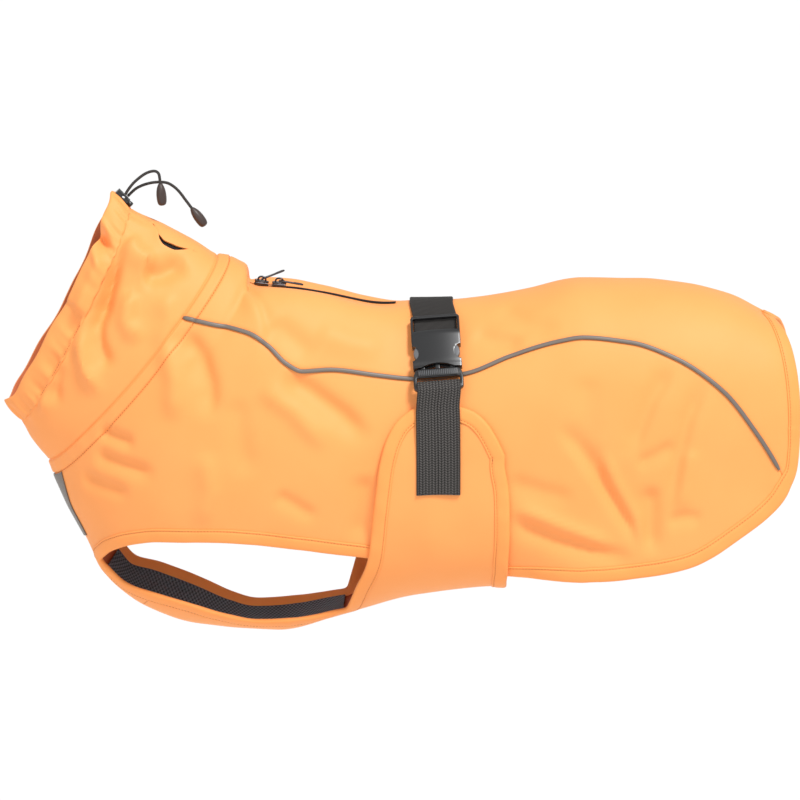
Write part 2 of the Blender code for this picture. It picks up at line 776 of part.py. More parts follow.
def make_buckle():
    """The side-release buckle, fastened: the upper socket half and the lower plug half."""
    frame = buckle_frame()
    female = block("buckle_female", (-22.3, 22, 1), (22.3, 57, 11), "grey plastic", bevel=1.2)
    loop = block("socket_loop", (-22.3, 56, 2.6), (22.3, 74, 7))
    combine(female, loop, "UNION")
    combine(female, block("webbing_slot", (-20.4, 57.6, -2), (20.4, 70.6, 14)), "DIFFERENCE")
    combine(female, block("plug_cavity", (-19.5, 20, 3), (19.5, 53, 9.2)), "DIFFERENCE")
    for side in (-1, 1):
        notch = drum("release_notch", (24.0 * side, 34, 6), 8, 20)
        combine(female, notch, "DIFFERENCE")
    placed(female, frame)
    half = [
        (22.6, 0), (22.6, 12), (21.4, 17), (17, 18), (16.5, 24), (20.3, 29), (20.3, 38),
        (16.8, 42), (15, 47), (12, 49), (10.5, 46), (11.5, 30), (11, 18.5), (4, 18.5),
        (3.5, 46), (2, 48),
    ]
    outline = half + [(-x, y) for x, y in half[::-1]]
    slots = [rectangle(-19, 4.8, 19, 8.4)]
    male = plate("buckle_male", [outline] + slots, 4.4, "grey plastic")
    placed(male, frame @ Matrix.Translation((0, 0, 6.2)))


# Zip

SLIDER_FRONT_X = -158.5
SLIDER_REAR_X = -142.0
SLIDER_LIFT = 1.0
SLIDER_HALF_LENGTH = 6.7
HINGE_HEIGHT = 5.6
PULL_FRONT_ANGLE = 30.0
PULL_REAR_ANGLE = -5.0
ZIP_COIL_END_X = -34.0


def zip_frame(x):
    """The axes at a place on the zip: X along it to the tail, Z off the back."""
    here = skin(station_at(x, 0.0), 0.0)
    along = (skin(station_at(x + 5, 0.0), 0.0) - skin(station_at(x - 5, 0.0), 0.0)).normalized()
    across = Vector((0, 1, 0))
    frame = Matrix((along, across, along.cross(across))).transposed().to_4x4()
    frame.translation = here
    return frame


def make_zip():
    """The zip's tape and closed chain, under and in the yoke's slot."""
    def strip(name, first, last, count, half_width, lift, finish, wall):
        grid = []
        for station in spread(first, last, count):
            row = section(station)
            edge = math.degrees(math.asin((half_width / row["half_width"]) ** (row["top_power"] / 2)))
            grid.append([(station, a, lift) for a in (-edge, -edge / 3, edge / 3, edge)])
        sheet(name, [(points(grid), set())], finish, wall)

    strip("zip_tape", ZIP_FRONT + 0.1, ZIP_REAR + 0.15, 10, 11.0, -CLOTH - LINING_GAP, "lining mesh", 0.8)
    first = station_at(SLIDER_REAR_X + SLIDER_HALF_LENGTH + 0.4, 0.0)
    last = station_at(ZIP_COIL_END_X, 0.0)
    strip("zip_coil", first, last, 10, 1.9, 0.4, "lining mesh", 1.6)


def make_slider(end, x, pull_angle):
    """A slider and its pull tab, which hangs on the slider's bridge."""
    frame = zip_frame(x)
    half = SLIDER_HALF_LENGTH
    slider = block("slider_" + end, (-half, -4.2, 0), (half, 4.2, 4), "zip metal", bevel=0.7)
    bridge = block("bridge_" + end, (-3.2, -1, 3.5), (3.2, 1, 8.2))
    combine(slider, bridge, "UNION")
    combine(slider, block("eye_" + end, (-2, -1.6, 3.9), (2, 1.6, 7.1)), "DIFFERENCE")
    placed(slider, frame @ Matrix.Translation((0, 0, SLIDER_LIFT)))
    outline = [
        (-0.75, -2.7), (8, -2.3), (14, -2.5), (20, -2.7), (22, -1.6), (22.6, 0),
        (22, 1.6), (20, 2.7), (14, 2.5), (8, 2.3), (-0.75, 2.7),
    ]
    eye = rectangle(0.75, -1.5, 5.0, 1.5)
    hole = [(15, 0), (16, -1.1), (19, -1.1), (20, 0), (19, 1.1), (16, 1.1)]
    pull = plate("pull_" + end, [outline, eye, hole], 1.4, "zip metal")
    hinge = frame @ Matrix.Translation((0, 0, SLIDER_LIFT + HINGE_HEIGHT))
    placed(pull, hinge @ Matrix.Rotation(math.radians(-pull_angle), 4, "Y"))


# Drawcord

CORD_RADIUS = 1.35
CORD_SHORT_ROUTE = [
    (-283.1, -3, 102.4), (-280.2, -3, 107.2), (-274.6, -3.5, 114.1), (-266.2, -4.5, 121.1),
    (-259.6, -5.5, 124.3), (-254.7, -6, 124.6), (-251.9, -6.5, 122.2), (-251, -6.5, 117.3),
    (-250.6, -6.5, 113.1),
]
CORD_LONG_ROUTE = [
    (-281.1, 3, 99.9), (-277, 3.2, 104), (-272.9, 3.5, 107.3), (-266.2, 4, 110.4),
    (-257.9, 5, 112.3), (-249.7, 5.5, 112.6), (-243.8, 6, 111.4), (-238, 6, 107.8),
    (-233, 6, 102.7), (-228.1, 6, 96), (-222.2, 6, 88),
]
CORD_END_PROFILE = [
    (0, 0), (2.2, 0), (3.2, -2), (4.4, -8), (5.4, -14), (4.8, -17.6), (2.6, -19.5), (0, -20),
]


def smooth_route(route, step):
    """Points about a step apart on a smooth curve through a route's points."""
    knots = [Vector(point) for point in route]
    ends = [knots[0] * 2 - knots[1]] + knots + [knots[-1] * 2 - knots[-2]]
    path = []
    for a, b, c, d in zip(ends, ends[1:], ends[2:], ends[3:]):
        count = max(1, round((c - b).length / step))
        for i in range(count):
            t = i / count
            path.append(
                (b * 2 + (c - a) * t + (a * 2 - b * 5 + c * 4 - d) * t * t
                 + (b * 3 - a - c * 3 + d) * t ** 3) / 2
            )
    return path + [knots[-1]]


def make_cord(end, route):
    """One free end of the drawcord and its end piece."""
    path = smooth_route(route, CORD_RADIUS * 2.6)
    tube("cord_" + end, path, CORD_RADIUS, "elastic cord")
    mesh = bpy.data.meshes.new("cord_end_" + end)
    rows = [(radius * MM, 0.0, z * MM) for radius, z in CORD_END_PROFILE]
    mesh.from_pydata(rows, [(i, i + 1) for i in range(len(rows) - 1)], [])
    obj = link_object("cord_end_" + end, mesh, "elastic cord")
    screw = obj.modifiers.new("turn", "SCREW")
    screw.steps = screw.render_steps = 14
    screw.use_merge_vertices = True
    screw.merge_threshold = 0.0001
    way = (path[-1] - path[-2]).normalized()
    frame = way.to_track_quat("-Z", "Y").to_matrix().to_4x4()
    frame.translation = path[-1] + way * LAYER_GAP
    placed(obj, frame)


def make_cord_lock():
    """The cord lock with its plunger, on the top of the casing."""
    front, rear = skin(MOUTH, 0.0), skin(CASING_SEAM, 0.0)
    along = (rear - front).normalized()
    across = Vector((0, 1, 0))
    frame = Matrix((along, across, along.cross(across))).transposed().to_4x4()
    frame.translation = (front + rear) / 2
    lock = block("cord_lock", (-7.5, -5, 0), (7.5, 5, 5.6), "grey plastic", bevel=1.2)
    combine(lock, drum("plunger", (8.6, 0, 3.1), 2.4, 6.0, axis="X"), "UNION")
    placed(lock, frame @ Matrix.Translation((0, 0, 0.6)))


def main():
    """Clear the scene and make the whole coat."""
    for obj in list(bpy.data.objects):
        bpy.data.objects.remove(obj)
    make_yoke()
    make_collar()
    make_casing()
    make_belly()
    for name, side in (("left", -1), ("right", 1)):
        make_side("side_" + name, side)
        make_piping("piping_" + name, side)
        make_binding("leg_binding_" + name, leg_edge(side), -side)
        make_binding("hem_binding_" + name, hem_edge(side), -side)
        make_binding("wing_binding_" + name, wing_edge(side), side)
    make_chest_strip()
    make_straps()
    make_buckle()
    make_zip()
    make_slider("front", SLIDER_FRONT_X, PULL_FRONT_ANGLE)
    make_slider("rear", SLIDER_REAR_X, PULL_REAR_ANGLE)
    make_cord_lock()
    make_cord("short", CORD_SHORT_ROUTE)
    make_cord("long", CORD_LONG_ROUTE)


if __name__ == "__main__":
    main()
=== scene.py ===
"""Looks of the dog raincoat: cloth, bindings, webbing, buckle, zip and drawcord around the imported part.

Sizes are in millimetres until a mesh is made. X runs from the head to the tail, Y from the wearer's
left to its right and Z up. All the cloth lies on one form. A place on it is a station, which counts the
form's sections from the collar's mouth to the tail, an angle in degrees round the section (0 at the
centre back, -90 on the left flank, 180 at the belly) and a lift off the form.
"""

import logging
import math
from dataclasses import dataclass, field
from enum import Enum
from typing import Callable, NamedTuple, Optional, Sequence

import bmesh
import bpy
import numpy as np
from mathutils import Matrix, Vector


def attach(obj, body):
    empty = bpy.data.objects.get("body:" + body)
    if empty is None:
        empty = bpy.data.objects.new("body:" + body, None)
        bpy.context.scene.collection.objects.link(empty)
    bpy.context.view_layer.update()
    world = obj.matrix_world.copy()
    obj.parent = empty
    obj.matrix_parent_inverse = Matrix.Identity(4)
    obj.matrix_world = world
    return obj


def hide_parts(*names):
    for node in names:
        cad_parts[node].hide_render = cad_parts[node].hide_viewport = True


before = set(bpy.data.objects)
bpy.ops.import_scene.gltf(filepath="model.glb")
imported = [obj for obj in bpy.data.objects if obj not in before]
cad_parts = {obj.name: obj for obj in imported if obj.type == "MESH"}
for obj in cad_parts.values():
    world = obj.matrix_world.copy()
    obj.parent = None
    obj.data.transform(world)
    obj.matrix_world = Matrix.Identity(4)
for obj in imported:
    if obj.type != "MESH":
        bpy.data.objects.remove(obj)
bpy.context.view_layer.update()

MM = 0.001
LOG = logging.getLogger("dog_raincoat")
Array = np.ndarray
Object, Material, Socket = bpy.types.Object, bpy.types.Material, bpy.types.NodeSocket


class Section(NamedTuple):
    """One section of the form, seen from the left side."""

    station: float
    top_x: float
    top_z: float
    foot_x: float
    foot_z: float
    half_width: float
    bow: float
    top_power: float
    foot_power: float


SECTIONS = [Section(*row) for row in (
    (0, -296, 106, -398, -92, 36, 8, 2.0, 2.0),
    (1, -280, 89, -382, -110, 46, 9, 2.0, 2.0),
    (2, -248, 74, -374, -126, 54, 11, 2.0, 1.95),
    (3, -218, 57, -365, -138, 60, 11, 2.0, 1.85),
    (4, -200, 46, -357, -148, 63, 12, 2.0, 1.8),
    (5, -188, 44, -352, -161, 66, 12, 2.0, 1.8),
    (6, -176, 36, -346, -176, 70, 12, 2.1, 1.85),
    (7, -169, 26, -340, -191, 73, 12, 2.2, 1.9),
    (8, -152, 29, -324, -221, 78, 10, 2.3, 1.9),
    (9, -130, 27, -309, -253, 83, 8, 2.3, 1.9),
    (10, -100, 21, -272, -286, 87, 6, 2.3, 1.9),
    (11, -62, 11, -216, -304, 89, 4, 2.2, 1.9),
    (12, -25, 3, -146, -307, 91, 2, 2.1, 1.95),
    (13, 8, 2, -76, -287, 92, 0, 2.0, 2.2),
    (14, 45, 5, -11, -268, 94, 0, 2.0, 2.7),
    (15, 91, 13, 69, -257, 95, 0, 2.1, 3.7),
    (16, 140, 23, 142, -284, 96, 0, 2.2, 5.0),
    (17, 193, 22, 199, -282, 94, 0, 2.2, 5.0),
    (18, 240, 17, 258, -266, 88, 3, 2.2, 5.0),
    (19, 275, 7, 301, -234, 80, 8, 2.2, 5.0),
    (20, 300, -6, 316, -202, 72, 15, 2.2, 5.0),
    (21, 315, -15, 316, -190, 63, 22, 2.2, 5.0),
)]


class Smooth:
    """A smooth curve through (x, y) rows that never overshoots them."""

    def __init__(self, rows: Sequence[tuple[float, float]]) -> None:
        """Take the curve's rows.

        Args:
            rows: the points that the curve passes, in rising x.
        """
        self.xs, self.ys = np.array([(float(x), float(y)) for x, y in rows]).T
        rises = np.diff(self.ys) / np.diff(self.xs)
        slopes = [rises[0]]
        for before, after in zip(rises, rises[1:]):
            same_way = before * after > 0
            slopes.append(2 * before * after / (before + after) if same_way else 0.0)
        self.slopes = np.array(slopes + [rises[-1]])

    def __call__(self, x: Array) -> Array:
        """The curve's height at one x or many."""
        x = np.asarray(x, float)
        i = np.clip(np.searchsorted(self.xs, x) - 1, 0, len(self.xs) - 2)
        low, high, width = self.ys[i], self.ys[i + 1], self.xs[i + 1] - self.xs[i]
        start, end = self.slopes[i] * width, self.slopes[i + 1] * width
        t = (x - self.xs[i]) / width
        s = np.clip(t, 0, 1)
        inside = (1 + 2 * s) * (1 - s) ** 2 * low + s * (1 - s) ** 2 * start
        inside += s * s * (3 - 2 * s) * high + s * s * (s - 1) * end
        return inside + np.minimum(t, 0) * start + np.maximum(t - 1, 0) * end


def soft_step(t: Array) -> Array:
    """A smooth rise from nought to one."""
    t = np.clip(t, 0, 1)
    return t * t * (3 - 2 * t)


def bell(distance: Array, width: Array) -> Array:
    """A soft hump, one at the middle."""
    return np.exp(-((distance / width) ** 2))


def run_of(points: Array) -> Array:
    """How far each point of a line is from its start, along it."""
    return np.concatenate(([0], np.cumsum(np.linalg.norm(np.diff(points, axis=0), axis=1))))


def unit(vectors: Array) -> Array:
    """Vectors made one long."""
    return vectors / np.maximum(np.linalg.norm(vectors, axis=-1, keepdims=True), 1e-9)


def bisect(height: Callable[[Array], Array], low: Array, high: Array) -> Array:
    """Where functions that fall from low to high are nought.

    Args:
        height: the functions, as one call on an array.
        low: where each starts.
        high: where each ends.

    Returns:
        The places.
    """
    for _ in range(26):
        middle = (low + high) / 2
        above = height(middle) > 0
        low, high = np.where(above, middle, low), np.where(above, high, middle)
    return (low + high) / 2


@dataclass(frozen=True)
class BodyForm:
    """The filled-out shape that all the cloth lies on."""

    dip_half_width: float = 26.0
    press_depth: float = 6.5
    press_station: float = 13.2
    press_angle: float = -40.0
    press_stations: float = 1.2
    press_degrees: float = 20.0

    def bare(self, station: Array, angle: Array) -> Array:
        """Points of the form, before any crease.

        Args:
            station: the stations.
            angle: the angles, in degrees.

        Returns:
            The points, in millimetres.
        """
        station, angle = np.broadcast_arrays(np.asarray(station, float), np.asarray(angle, float))
        angle = (angle + 180) % 360 - 180
        row = {name: curve(station) for name, curve in SECTION_CURVES.items()}
        up = np.radians(90 - np.abs(angle))
        power = np.where(up >= 0, row["top_power"], row["foot_power"])
        rise = np.copysign(np.abs(np.sin(up)) ** (2 / power), up)
        out = np.maximum(0.0, np.cos(up)) ** (2 / power)
        y = np.copysign(row["half_width"] * out, angle)
        dip = np.where((station > 6.3) & (station < 12.5) & (up > 0), ZIP_DIP(station), 0.0)
        dip = dip * bell(y, self.dip_half_width)
        x = (row["top_x"] + row["foot_x"] + (row["top_x"] - row["foot_x"]) * rise) / 2
        z = (row["top_z"] + row["foot_z"] + (row["top_z"] - row["foot_z"]) * rise) / 2
        press = self.press_depth * bell(angle - self.press_angle, self.press_degrees)
        press = press * bell(station - self.press_station, self.press_stations)
        return np.stack((x + row["bow"] * out, y + press * 0.76, z - dip - press * 0.65), -1)

    def normal(self, station: Array, angle: Array) -> Array:
        """The ways out of the form, square to it."""
        step = 0.05
        along = self.bare(station + step, angle) - self.bare(station - step, angle)
        round_it = self.bare(station, angle + 20 * step) - self.bare(station, angle - 20 * step)
        return unit(np.cross(along, round_it))

    def at(self, station: Array, angle: Array, lift: Array = 0.0, creased: bool = True) -> Array:
        """Points at a height above the cloth, creases and all.

        Args:
            station: the stations.
            angle: the angles.
            lift: the heights off the form.
            creased: whether the points follow the creases.

        Returns:
            The points, in millimetres.
        """
        station, angle = np.broadcast_arrays(np.asarray(station, float), np.asarray(angle, float))
        points, out = self.bare(station, angle), self.normal(station, angle)
        height = np.broadcast_to(np.asarray(lift, float), station.shape)
        if creased:
            height = height + relief(points, station, angle)
        return points + out * height[..., None]

    def seam_angle(self, station: Array, seam: Smooth, low: float = 5.0) -> Array:
        """The angles at which sections cross a seam that is drawn from the side."""
        station = np.asarray(station, float)

        def above_seam(angle: Array) -> Array:
            """How far the form is above the seam."""
            point = self.bare(station, angle)
            return point[..., 2] - seam(point[..., 0])

        return bisect(above_seam, np.full(station.shape, low), np.full(station.shape, 179.5))

    def station_at(self, x: Array, angle: Array) -> Array:
        """The stations at which the form passes x, at an angle."""
        x, angle = np.broadcast_arrays(np.asarray(x, float), np.asarray(angle, float))
        return bisect(lambda s: x - self.bare(s, angle)[..., 0], np.zeros(x.shape), np.full(x.shape, 21.0))

    def spot(self, x: Array, z: Array) -> tuple[Array, Array]:
        """The stations and angles on the left flank of points that are drawn from the side."""
        x, z = np.asarray(x, float), np.asarray(z, float)

        def above(turn: Array) -> Array:
            """How far the form is above the points."""
            return self.bare(self.station_at(x, -turn), -turn)[..., 2] - z

        angle = -bisect(above, np.full(x.shape, 2.0), np.full(x.shape, 178.0))
        return self.station_at(x, angle), angle

    def point(self, x: float, angle: float) -> Vector:
        """The point at an x and an angle."""
        return Vector(self.bare(self.station_at(x, angle), angle))


SECTION_CURVES = {
    name: Smooth([(row.station, getattr(row, name)) for row in SECTIONS]) for name in Section._fields[1:]
}
ZIP_DIP = Smooth([(6.3, 0), (8.2, 14), (11, 10), (12.5, 0), (13, 0)])
FORM = BodyForm()

# Seams and edges, drawn from the side as (x, z) rows.
PIPING = Smooth([
    (-229, -3), (-201, -9), (-171, -15), (-151, -26), (-134, -42), (-119, -49), (-95, -48),
    (-49, -53), (-16, -55), (30, -50), (74, -34), (117, -22), (138, -19), (181, -23),
    (224, -38), (267, -68), (300, -111), (321, -146),
])
LOWER_EDGE = Smooth([
    (-305, -231), (-293, -223), (-277, -216), (-252, -211), (-196, -209), (-122, -215),
    (-56, -224), (10, -235), (71, -242), (149, -243), (194, -239), (237, -231),
    (258, -221), (280, -206), (306, -187), (322, -172), (330, -157), (335, -145), (337, -120),
])
BIB_EDGE = Smooth([
    (-304, -246), (-285, -262), (-262, -268), (-238, -274), (-214, -281), (-190, -288),
    (-166, -292), (-123, -288), (-86, -281),
])
# How many degrees higher the bib's edge sits on the right.
RIGHT_BIB_RISE = Smooth([(8, 13), (8.7, 13), (9.5, 9), (10.5, 4), (12, 0)])
# The wing's front and rear outlines, drawn from the side, from its top to the belly.
WING_FRONT = [(-14, -82), (-24, -88), (-34, -97), (-43, -115), (-48, -135), (-51, -158), (-54, -184),
              (-56, -206), (-59, -226), (-64, -240), (-70, -253), (-75, -267)]
WING_REAR = [(27, -81), (38, -85), (49, -94), (59, -110), (65, -130), (69, -155), (70, -184),
             (70, -206), (69, -225), (69, -236), (68, -243), (68, -250)]
WING_REAR_X = 68.0

# Stations and angles of the main lines.
CASING_SEAM = 1.0
NECK_SEAM = 4.0
NECK_TOPSTITCH = 5.0
OPENING_TIP = 8.7
BIB_SEAM = 10.0
BIB_END = 12.9
PIPING_END = 20.1
TAIL = 21.0
ZIP_FRONT = 7.0
ZIP_REAR = 11.8
NECK_EDGE_ANGLE = 112.0
NECK_BIB_ANGLE = 148.0

# Thicknesses and lifts.
CLOTH = 1.6
WING_LIFT = 4.4
WEBBING = 1.8

# Points of a sheet are one point where they round to the same place, in parts of a millimetre.
WELD_PARTS = 40
# How far apart the places of an evened line are.
TRACK_STEP = 1.6


class Flank(Enum):
    """A side of the coat."""

    LEFT = -1
    RIGHT = 1

    @property
    def word(self) -> str:
        """The side's name, as the nodes have it."""
        return self.name.lower()


class Crease(NamedTuple):
    """A soft fold: how far it stands up, its widths on its two sides and its route from the side."""

    depth: float
    left: float
    right: float
    route: tuple


COLLAR_CREASES = [Crease(*row) for row in (
    (-7.0, 8, 12, ((-291, 66), (-295, 34), (-302, 4), (-310, -20))),
    (4.5, 9, 14, ((-283, 66), (-270, 52), (-252, 44))),
    (-4.6, 10, 13, ((-268, 34), (-248, 36), (-226, 46))),
    (4.2, 7, 9, ((-331, 10), (-325, -21), (-319, -50), (-303, -80))),
    (-3.6, 7, 9, ((-309, 0), (-306, -28), (-296, -54))),
    (3.4, 9, 10, ((-276, 22), (-281, -6), (-268, -28))),
    (2.6, 8, 10, ((-356, -40), (-360, -72), (-362, -104))),
    (-2.4, 7, 8, ((-344, -30), (-348, -62), (-346, -92))),
    (2.2, 9, 12, ((-246, 20), (-240, -6), (-252, -34))),
)]
FRONT_CREASES = [Crease(*row) for row in (
    (-3.8, 9, 15, ((-230, -12), (-213, -34), (-204, -62), (-202, -98))),
    (3.0, 12, 12, ((-246, -20), (-236, -60), (-238, -100))),
    (-2.6, 6, 8, ((-308, -108), (-291, -114), (-271, -119))),
    (-2.8, 6, 10, ((-314, -130), (-284, -139), (-252, -146))),
    (-2.2, 6, 9, ((-326, -154), (-302, -161), (-276, -167))),
    (-4.0, 10, 15, ((-140, -50), (-112, -66), (-82, -88), (-54, -116))),
    (2.4, 14, 10, ((-162, -60), (-128, -84), (-92, -122))),
    (-2.6, 10, 14, ((-61, -140), (-62, -176), (-66, -212))),
    (-1.8, 7, 9, ((-146, -160), (-126, -172), (-104, -186))),
    (1.8, 10, 12, ((-210, -120), (-204, -160), (-214, -198))),
    (-1.6, 12, 14, ((-180, -70), (-176, -110), (-168, -150))),
)]
BACK_CREASES = [Crease(*row) for row in (
    (-2.2, 12, 16, ((-150, -4), (-128, -20), (-106, -38))),
    (1.6, 14, 14, ((-108, -14), (-76, -26), (-40, -32))),
    (-1.4, 12, 12, ((60, 2), (88, -10), (120, -14))),
    (-2.0, 9, 12, ((36, -18), (58, -24), (86, -24))),
)]
REAR_CREASES = [Crease(*row) for row in (
    (-3.4, 13, 7, ((111, -92), (131, -113), (153, -144), (167, -167), (186, -198), (196, -223))),
    (2.8, 7, 7, ((154, -117), (165, -147), (186, -184), (198, -223))),
    (-2.2, 7, 14, ((220, -43), (200, -74), (184, -117), (186, -130))),
    (-1.7, 6, 10, ((184, -132), (204, -124), (224, -112))),
    (-2.5, 7, 12, ((250, -55), (234, -91), (226, -126), (220, -163), (218, -184))),
    (-3.2, 11, 11, ((199, -150), (201, -178), (200, -222))),
    (-2.8, 7, 12, ((66, -182), (115, -202), (165, -216), (192, -226))),
    (2.2, 8, 8, ((70, -170), (104, -184), (146, -202), (176, -216))),
    (-1.5, 8, 12, ((66, -146), (100, -157), (134, -166))),
    (-1.3, 14, 14, ((141, -50), (142, -84), (144, -118))),
    (1.6, 10, 10, ((238, -116), (231, -148), (227, -182))),
    (-1.5, 6, 9, ((214, -186), (232, -182), (250, -184))),
)]
# The hidden side has folds of its own: the near ones, moved along and made deeper or shallower.
FAR_SHIFTS = (6, -9, 3, 11, -5, -12, 8, -3, 10, -7, 4, 12)
FAR_DEPTHS = (0.8, 1.15, 0.7, 0.95, 1.2, 0.75, 1.05, 0.85, 1.1, 0.9, 1.25, 0.7)
# How deep and how wide the folds are made, as shares of what the tables say.
FOLD_DEPTH = 1.85
FOLD_WIDTH = 0.85


class FoldLine:
    """A crease's line in space, and how high it lifts the cloth round it."""

    def __init__(self, crease: Crease, flank: Flank, shift: float = 0.0, share: float = 1.0) -> None:
        """Lay a crease on a flank.

        Args:
            crease: the crease.
            flank: the side that it lies on.
            shift: how far it moves to the tail, in millimetres.
            share: how deep it is, as a share of the crease's own depth.
        """
        route = np.array(crease.route, float) + (shift, 0.0)
        station, angle = FORM.spot(route[:, 0], route[:, 1])
        self.line = FORM.bare(station, angle * -flank.value)
        self.depth = crease.depth * share * FOLD_DEPTH
        self.left, self.right = crease.left * FOLD_WIDTH, crease.right * FOLD_WIDTH

    def height(self, points: Array) -> Array:
        """How much it lifts each of some points."""
        reach = 2.6 * max(self.left, self.right)
        low, high = self.line.min(0) - reach, self.line.max(0) + reach
        near = ((points > low) & (points < high)).all(-1)
        lifted = np.zeros(points.shape[:-1])
        if not near.any():
            return lifted
        spots = points[near]
        spans = np.linalg.norm(np.diff(self.line, axis=0), axis=1)
        total, done = spans.sum(), 0.0
        best, share, side = (np.full(len(spots), value) for value in (1e9, 0.0, 1.0))
        for start, end, span in zip(self.line, self.line[1:], spans):
            way = (end - start) / span
            along = np.clip((spots - start) @ way, 0, span)
            off = spots - start - along[:, None] * way
            far = np.linalg.norm(off, axis=1)
            closer = far < best
            turn = np.sign(way[0] * off[:, 2] - way[2] * off[:, 0])
            best = np.where(closer, far, best)
            share = np.where(closer, (done + along) / total, share)
            side = np.where(closer, turn, side)
            done += span
        width = np.where(side > 0, self.left, self.right)
        taper = soft_step(share / 0.22) * soft_step((1 - share) / 0.3)
        lifted[near] = self.depth * bell(best, width) * taper
        return lifted


def fold_lines() -> list[FoldLine]:
    """All the body's folds, on both sides."""
    lines = []
    for table in (COLLAR_CREASES, FRONT_CREASES, BACK_CREASES, REAR_CREASES):
        lines += [FoldLine(crease, Flank.LEFT) for crease in table]
        for crease, shift, share in zip(table, FAR_SHIFTS, FAR_DEPTHS):
            lines.append(FoldLine(crease, Flank.RIGHT, shift, share))
    return lines


FOLDS = fold_lines()


def ripple(points: Array) -> Array:
    """The cloth's slight unevenness, under a millimetre."""
    x, y, z = points[..., 0], points[..., 1], points[..., 2]
    waves = 0.34 * np.sin(x / 17 + z / 23 + 1.3) * np.sin(z / 19 - y / 31)
    waves += 0.22 * np.sin(x / 9.5 - z / 13 + 0.7) * np.sin(y / 11 + x / 29)
    return waves + 0.3 * np.sin(x / 41 + y / 37) * np.sin(z / 47 + 2.1)


def band_and_seams(station: Array, angle: Array) -> Array:
    """The neck band's raised, puckered strip and the grooves of the seams round it."""
    strip = soft_step((station - 4.02) / 0.12) * soft_step((5.0 - station) / 0.12)
    pucker = np.sin(np.abs(angle) / 1.5 + 3 * np.sin(angle / 19)) * soft_step((np.abs(angle) - 96) / 30)
    shape = 0.75 * strip + 0.28 * strip * pucker * (5.2 - station)
    shape = shape - 0.8 * bell(station - NECK_TOPSTITCH, 0.07)
    return shape - 1.1 * bell(station - NECK_SEAM, 0.08)


def shoulder(station: Array, angle: Array) -> Array:
    """The shoulder fold behind the neck band, which fades down the left side and the right."""
    turn = np.abs(angle)
    line = 6.35 + 2.7 * soft_step((turn - 8) / 52) + 0.35 * soft_step((turn - 55) / 20)
    fade = soft_step((78 - turn) / 46)
    ahead = 5.5 * np.where(station < line, bell(station - line, 0.62), bell(station - line, 0.2))
    return fade * (ahead * 0.5 - 1.6 * bell(station - line - 0.34, 0.3))


def relief(points: Array, station: Array, angle: Array) -> Array:
    """How far the creased cloth stands off the form.

    Args:
        points: the bare points.
        station: their stations.
        angle: their angles.

    Returns:
        The heights, in millimetres.
    """
    turn = (angle + 180) % 360 - 180
    height = ripple(points) + band_and_seams(station, turn) + shoulder(station, turn)
    for fold in FOLDS:
        height = height + fold.height(points)
    calm = soft_step((station - 0.9) / 0.5) * (1 - 0.75 * soft_step((station - 19.2) / 1.2))
    under_buckle = bell(station - FORM.press_station, 1.0) * bell(turn + 42, 30)
    return height * calm * (1 - under_buckle)


# Meshes


class Block(NamedTuple):
    """A grid of cloth: its outer and inner points and its cells that stay open."""

    outer: Array
    inner: Array
    open_cells: Optional[Array] = None


def placed(name: str, data: bpy.types.ID) -> Object:
    """Make an object of a mesh or a curve and put it in the scene."""
    obj = bpy.data.objects.new(name, data)
    bpy.context.scene.collection.objects.link(obj)
    return obj


def shade(mesh: bpy.types.Mesh, sharp: float) -> None:
    """Shade a mesh smooth, but for edges past an angle in degrees."""
    mesh.shade_smooth()
    mesh.set_sharp_from_angle(angle=math.radians(sharp))


def baked(name: str, bm: bmesh.types.BMesh, axes: Matrix) -> Object:
    """Make an object of a mesh that was worked out in some axes, in millimetres."""
    mesh = bpy.data.meshes.new(name)
    bm.to_mesh(mesh)
    bm.free()
    mesh.transform(Matrix.Scale(MM, 4) @ axes)
    return placed(name, mesh)


def new_piece(name: str, points: Array, faces: Sequence, chart: Optional[Array] = None,
              sharp: float = 48.0) -> Object:
    """Make a mesh object.

    Args:
        name: the piece's name.
        points: its vertices, in millimetres.
        faces: the vertices of each face.
        chart: each vertex's place on the flat cloth, in millimetres.
        sharp: the angle past which an edge is sharp, in degrees.

    Returns:
        The object.
    """
    mesh = bpy.data.meshes.new(name)
    mesh.from_pydata((np.asarray(points) * MM).tolist(), [], [list(map(int, f)) for f in faces])
    if chart is not None:
        corners = np.empty(len(mesh.loops), int)
        mesh.loops.foreach_get("vertex_index", corners)
        layer = mesh.uv_layers.new(name="cloth")
        layer.data.foreach_set("uv", (np.asarray(chart)[corners] * MM).ravel())
    mesh.validate()
    shade(mesh, sharp)
    return placed(name, mesh)


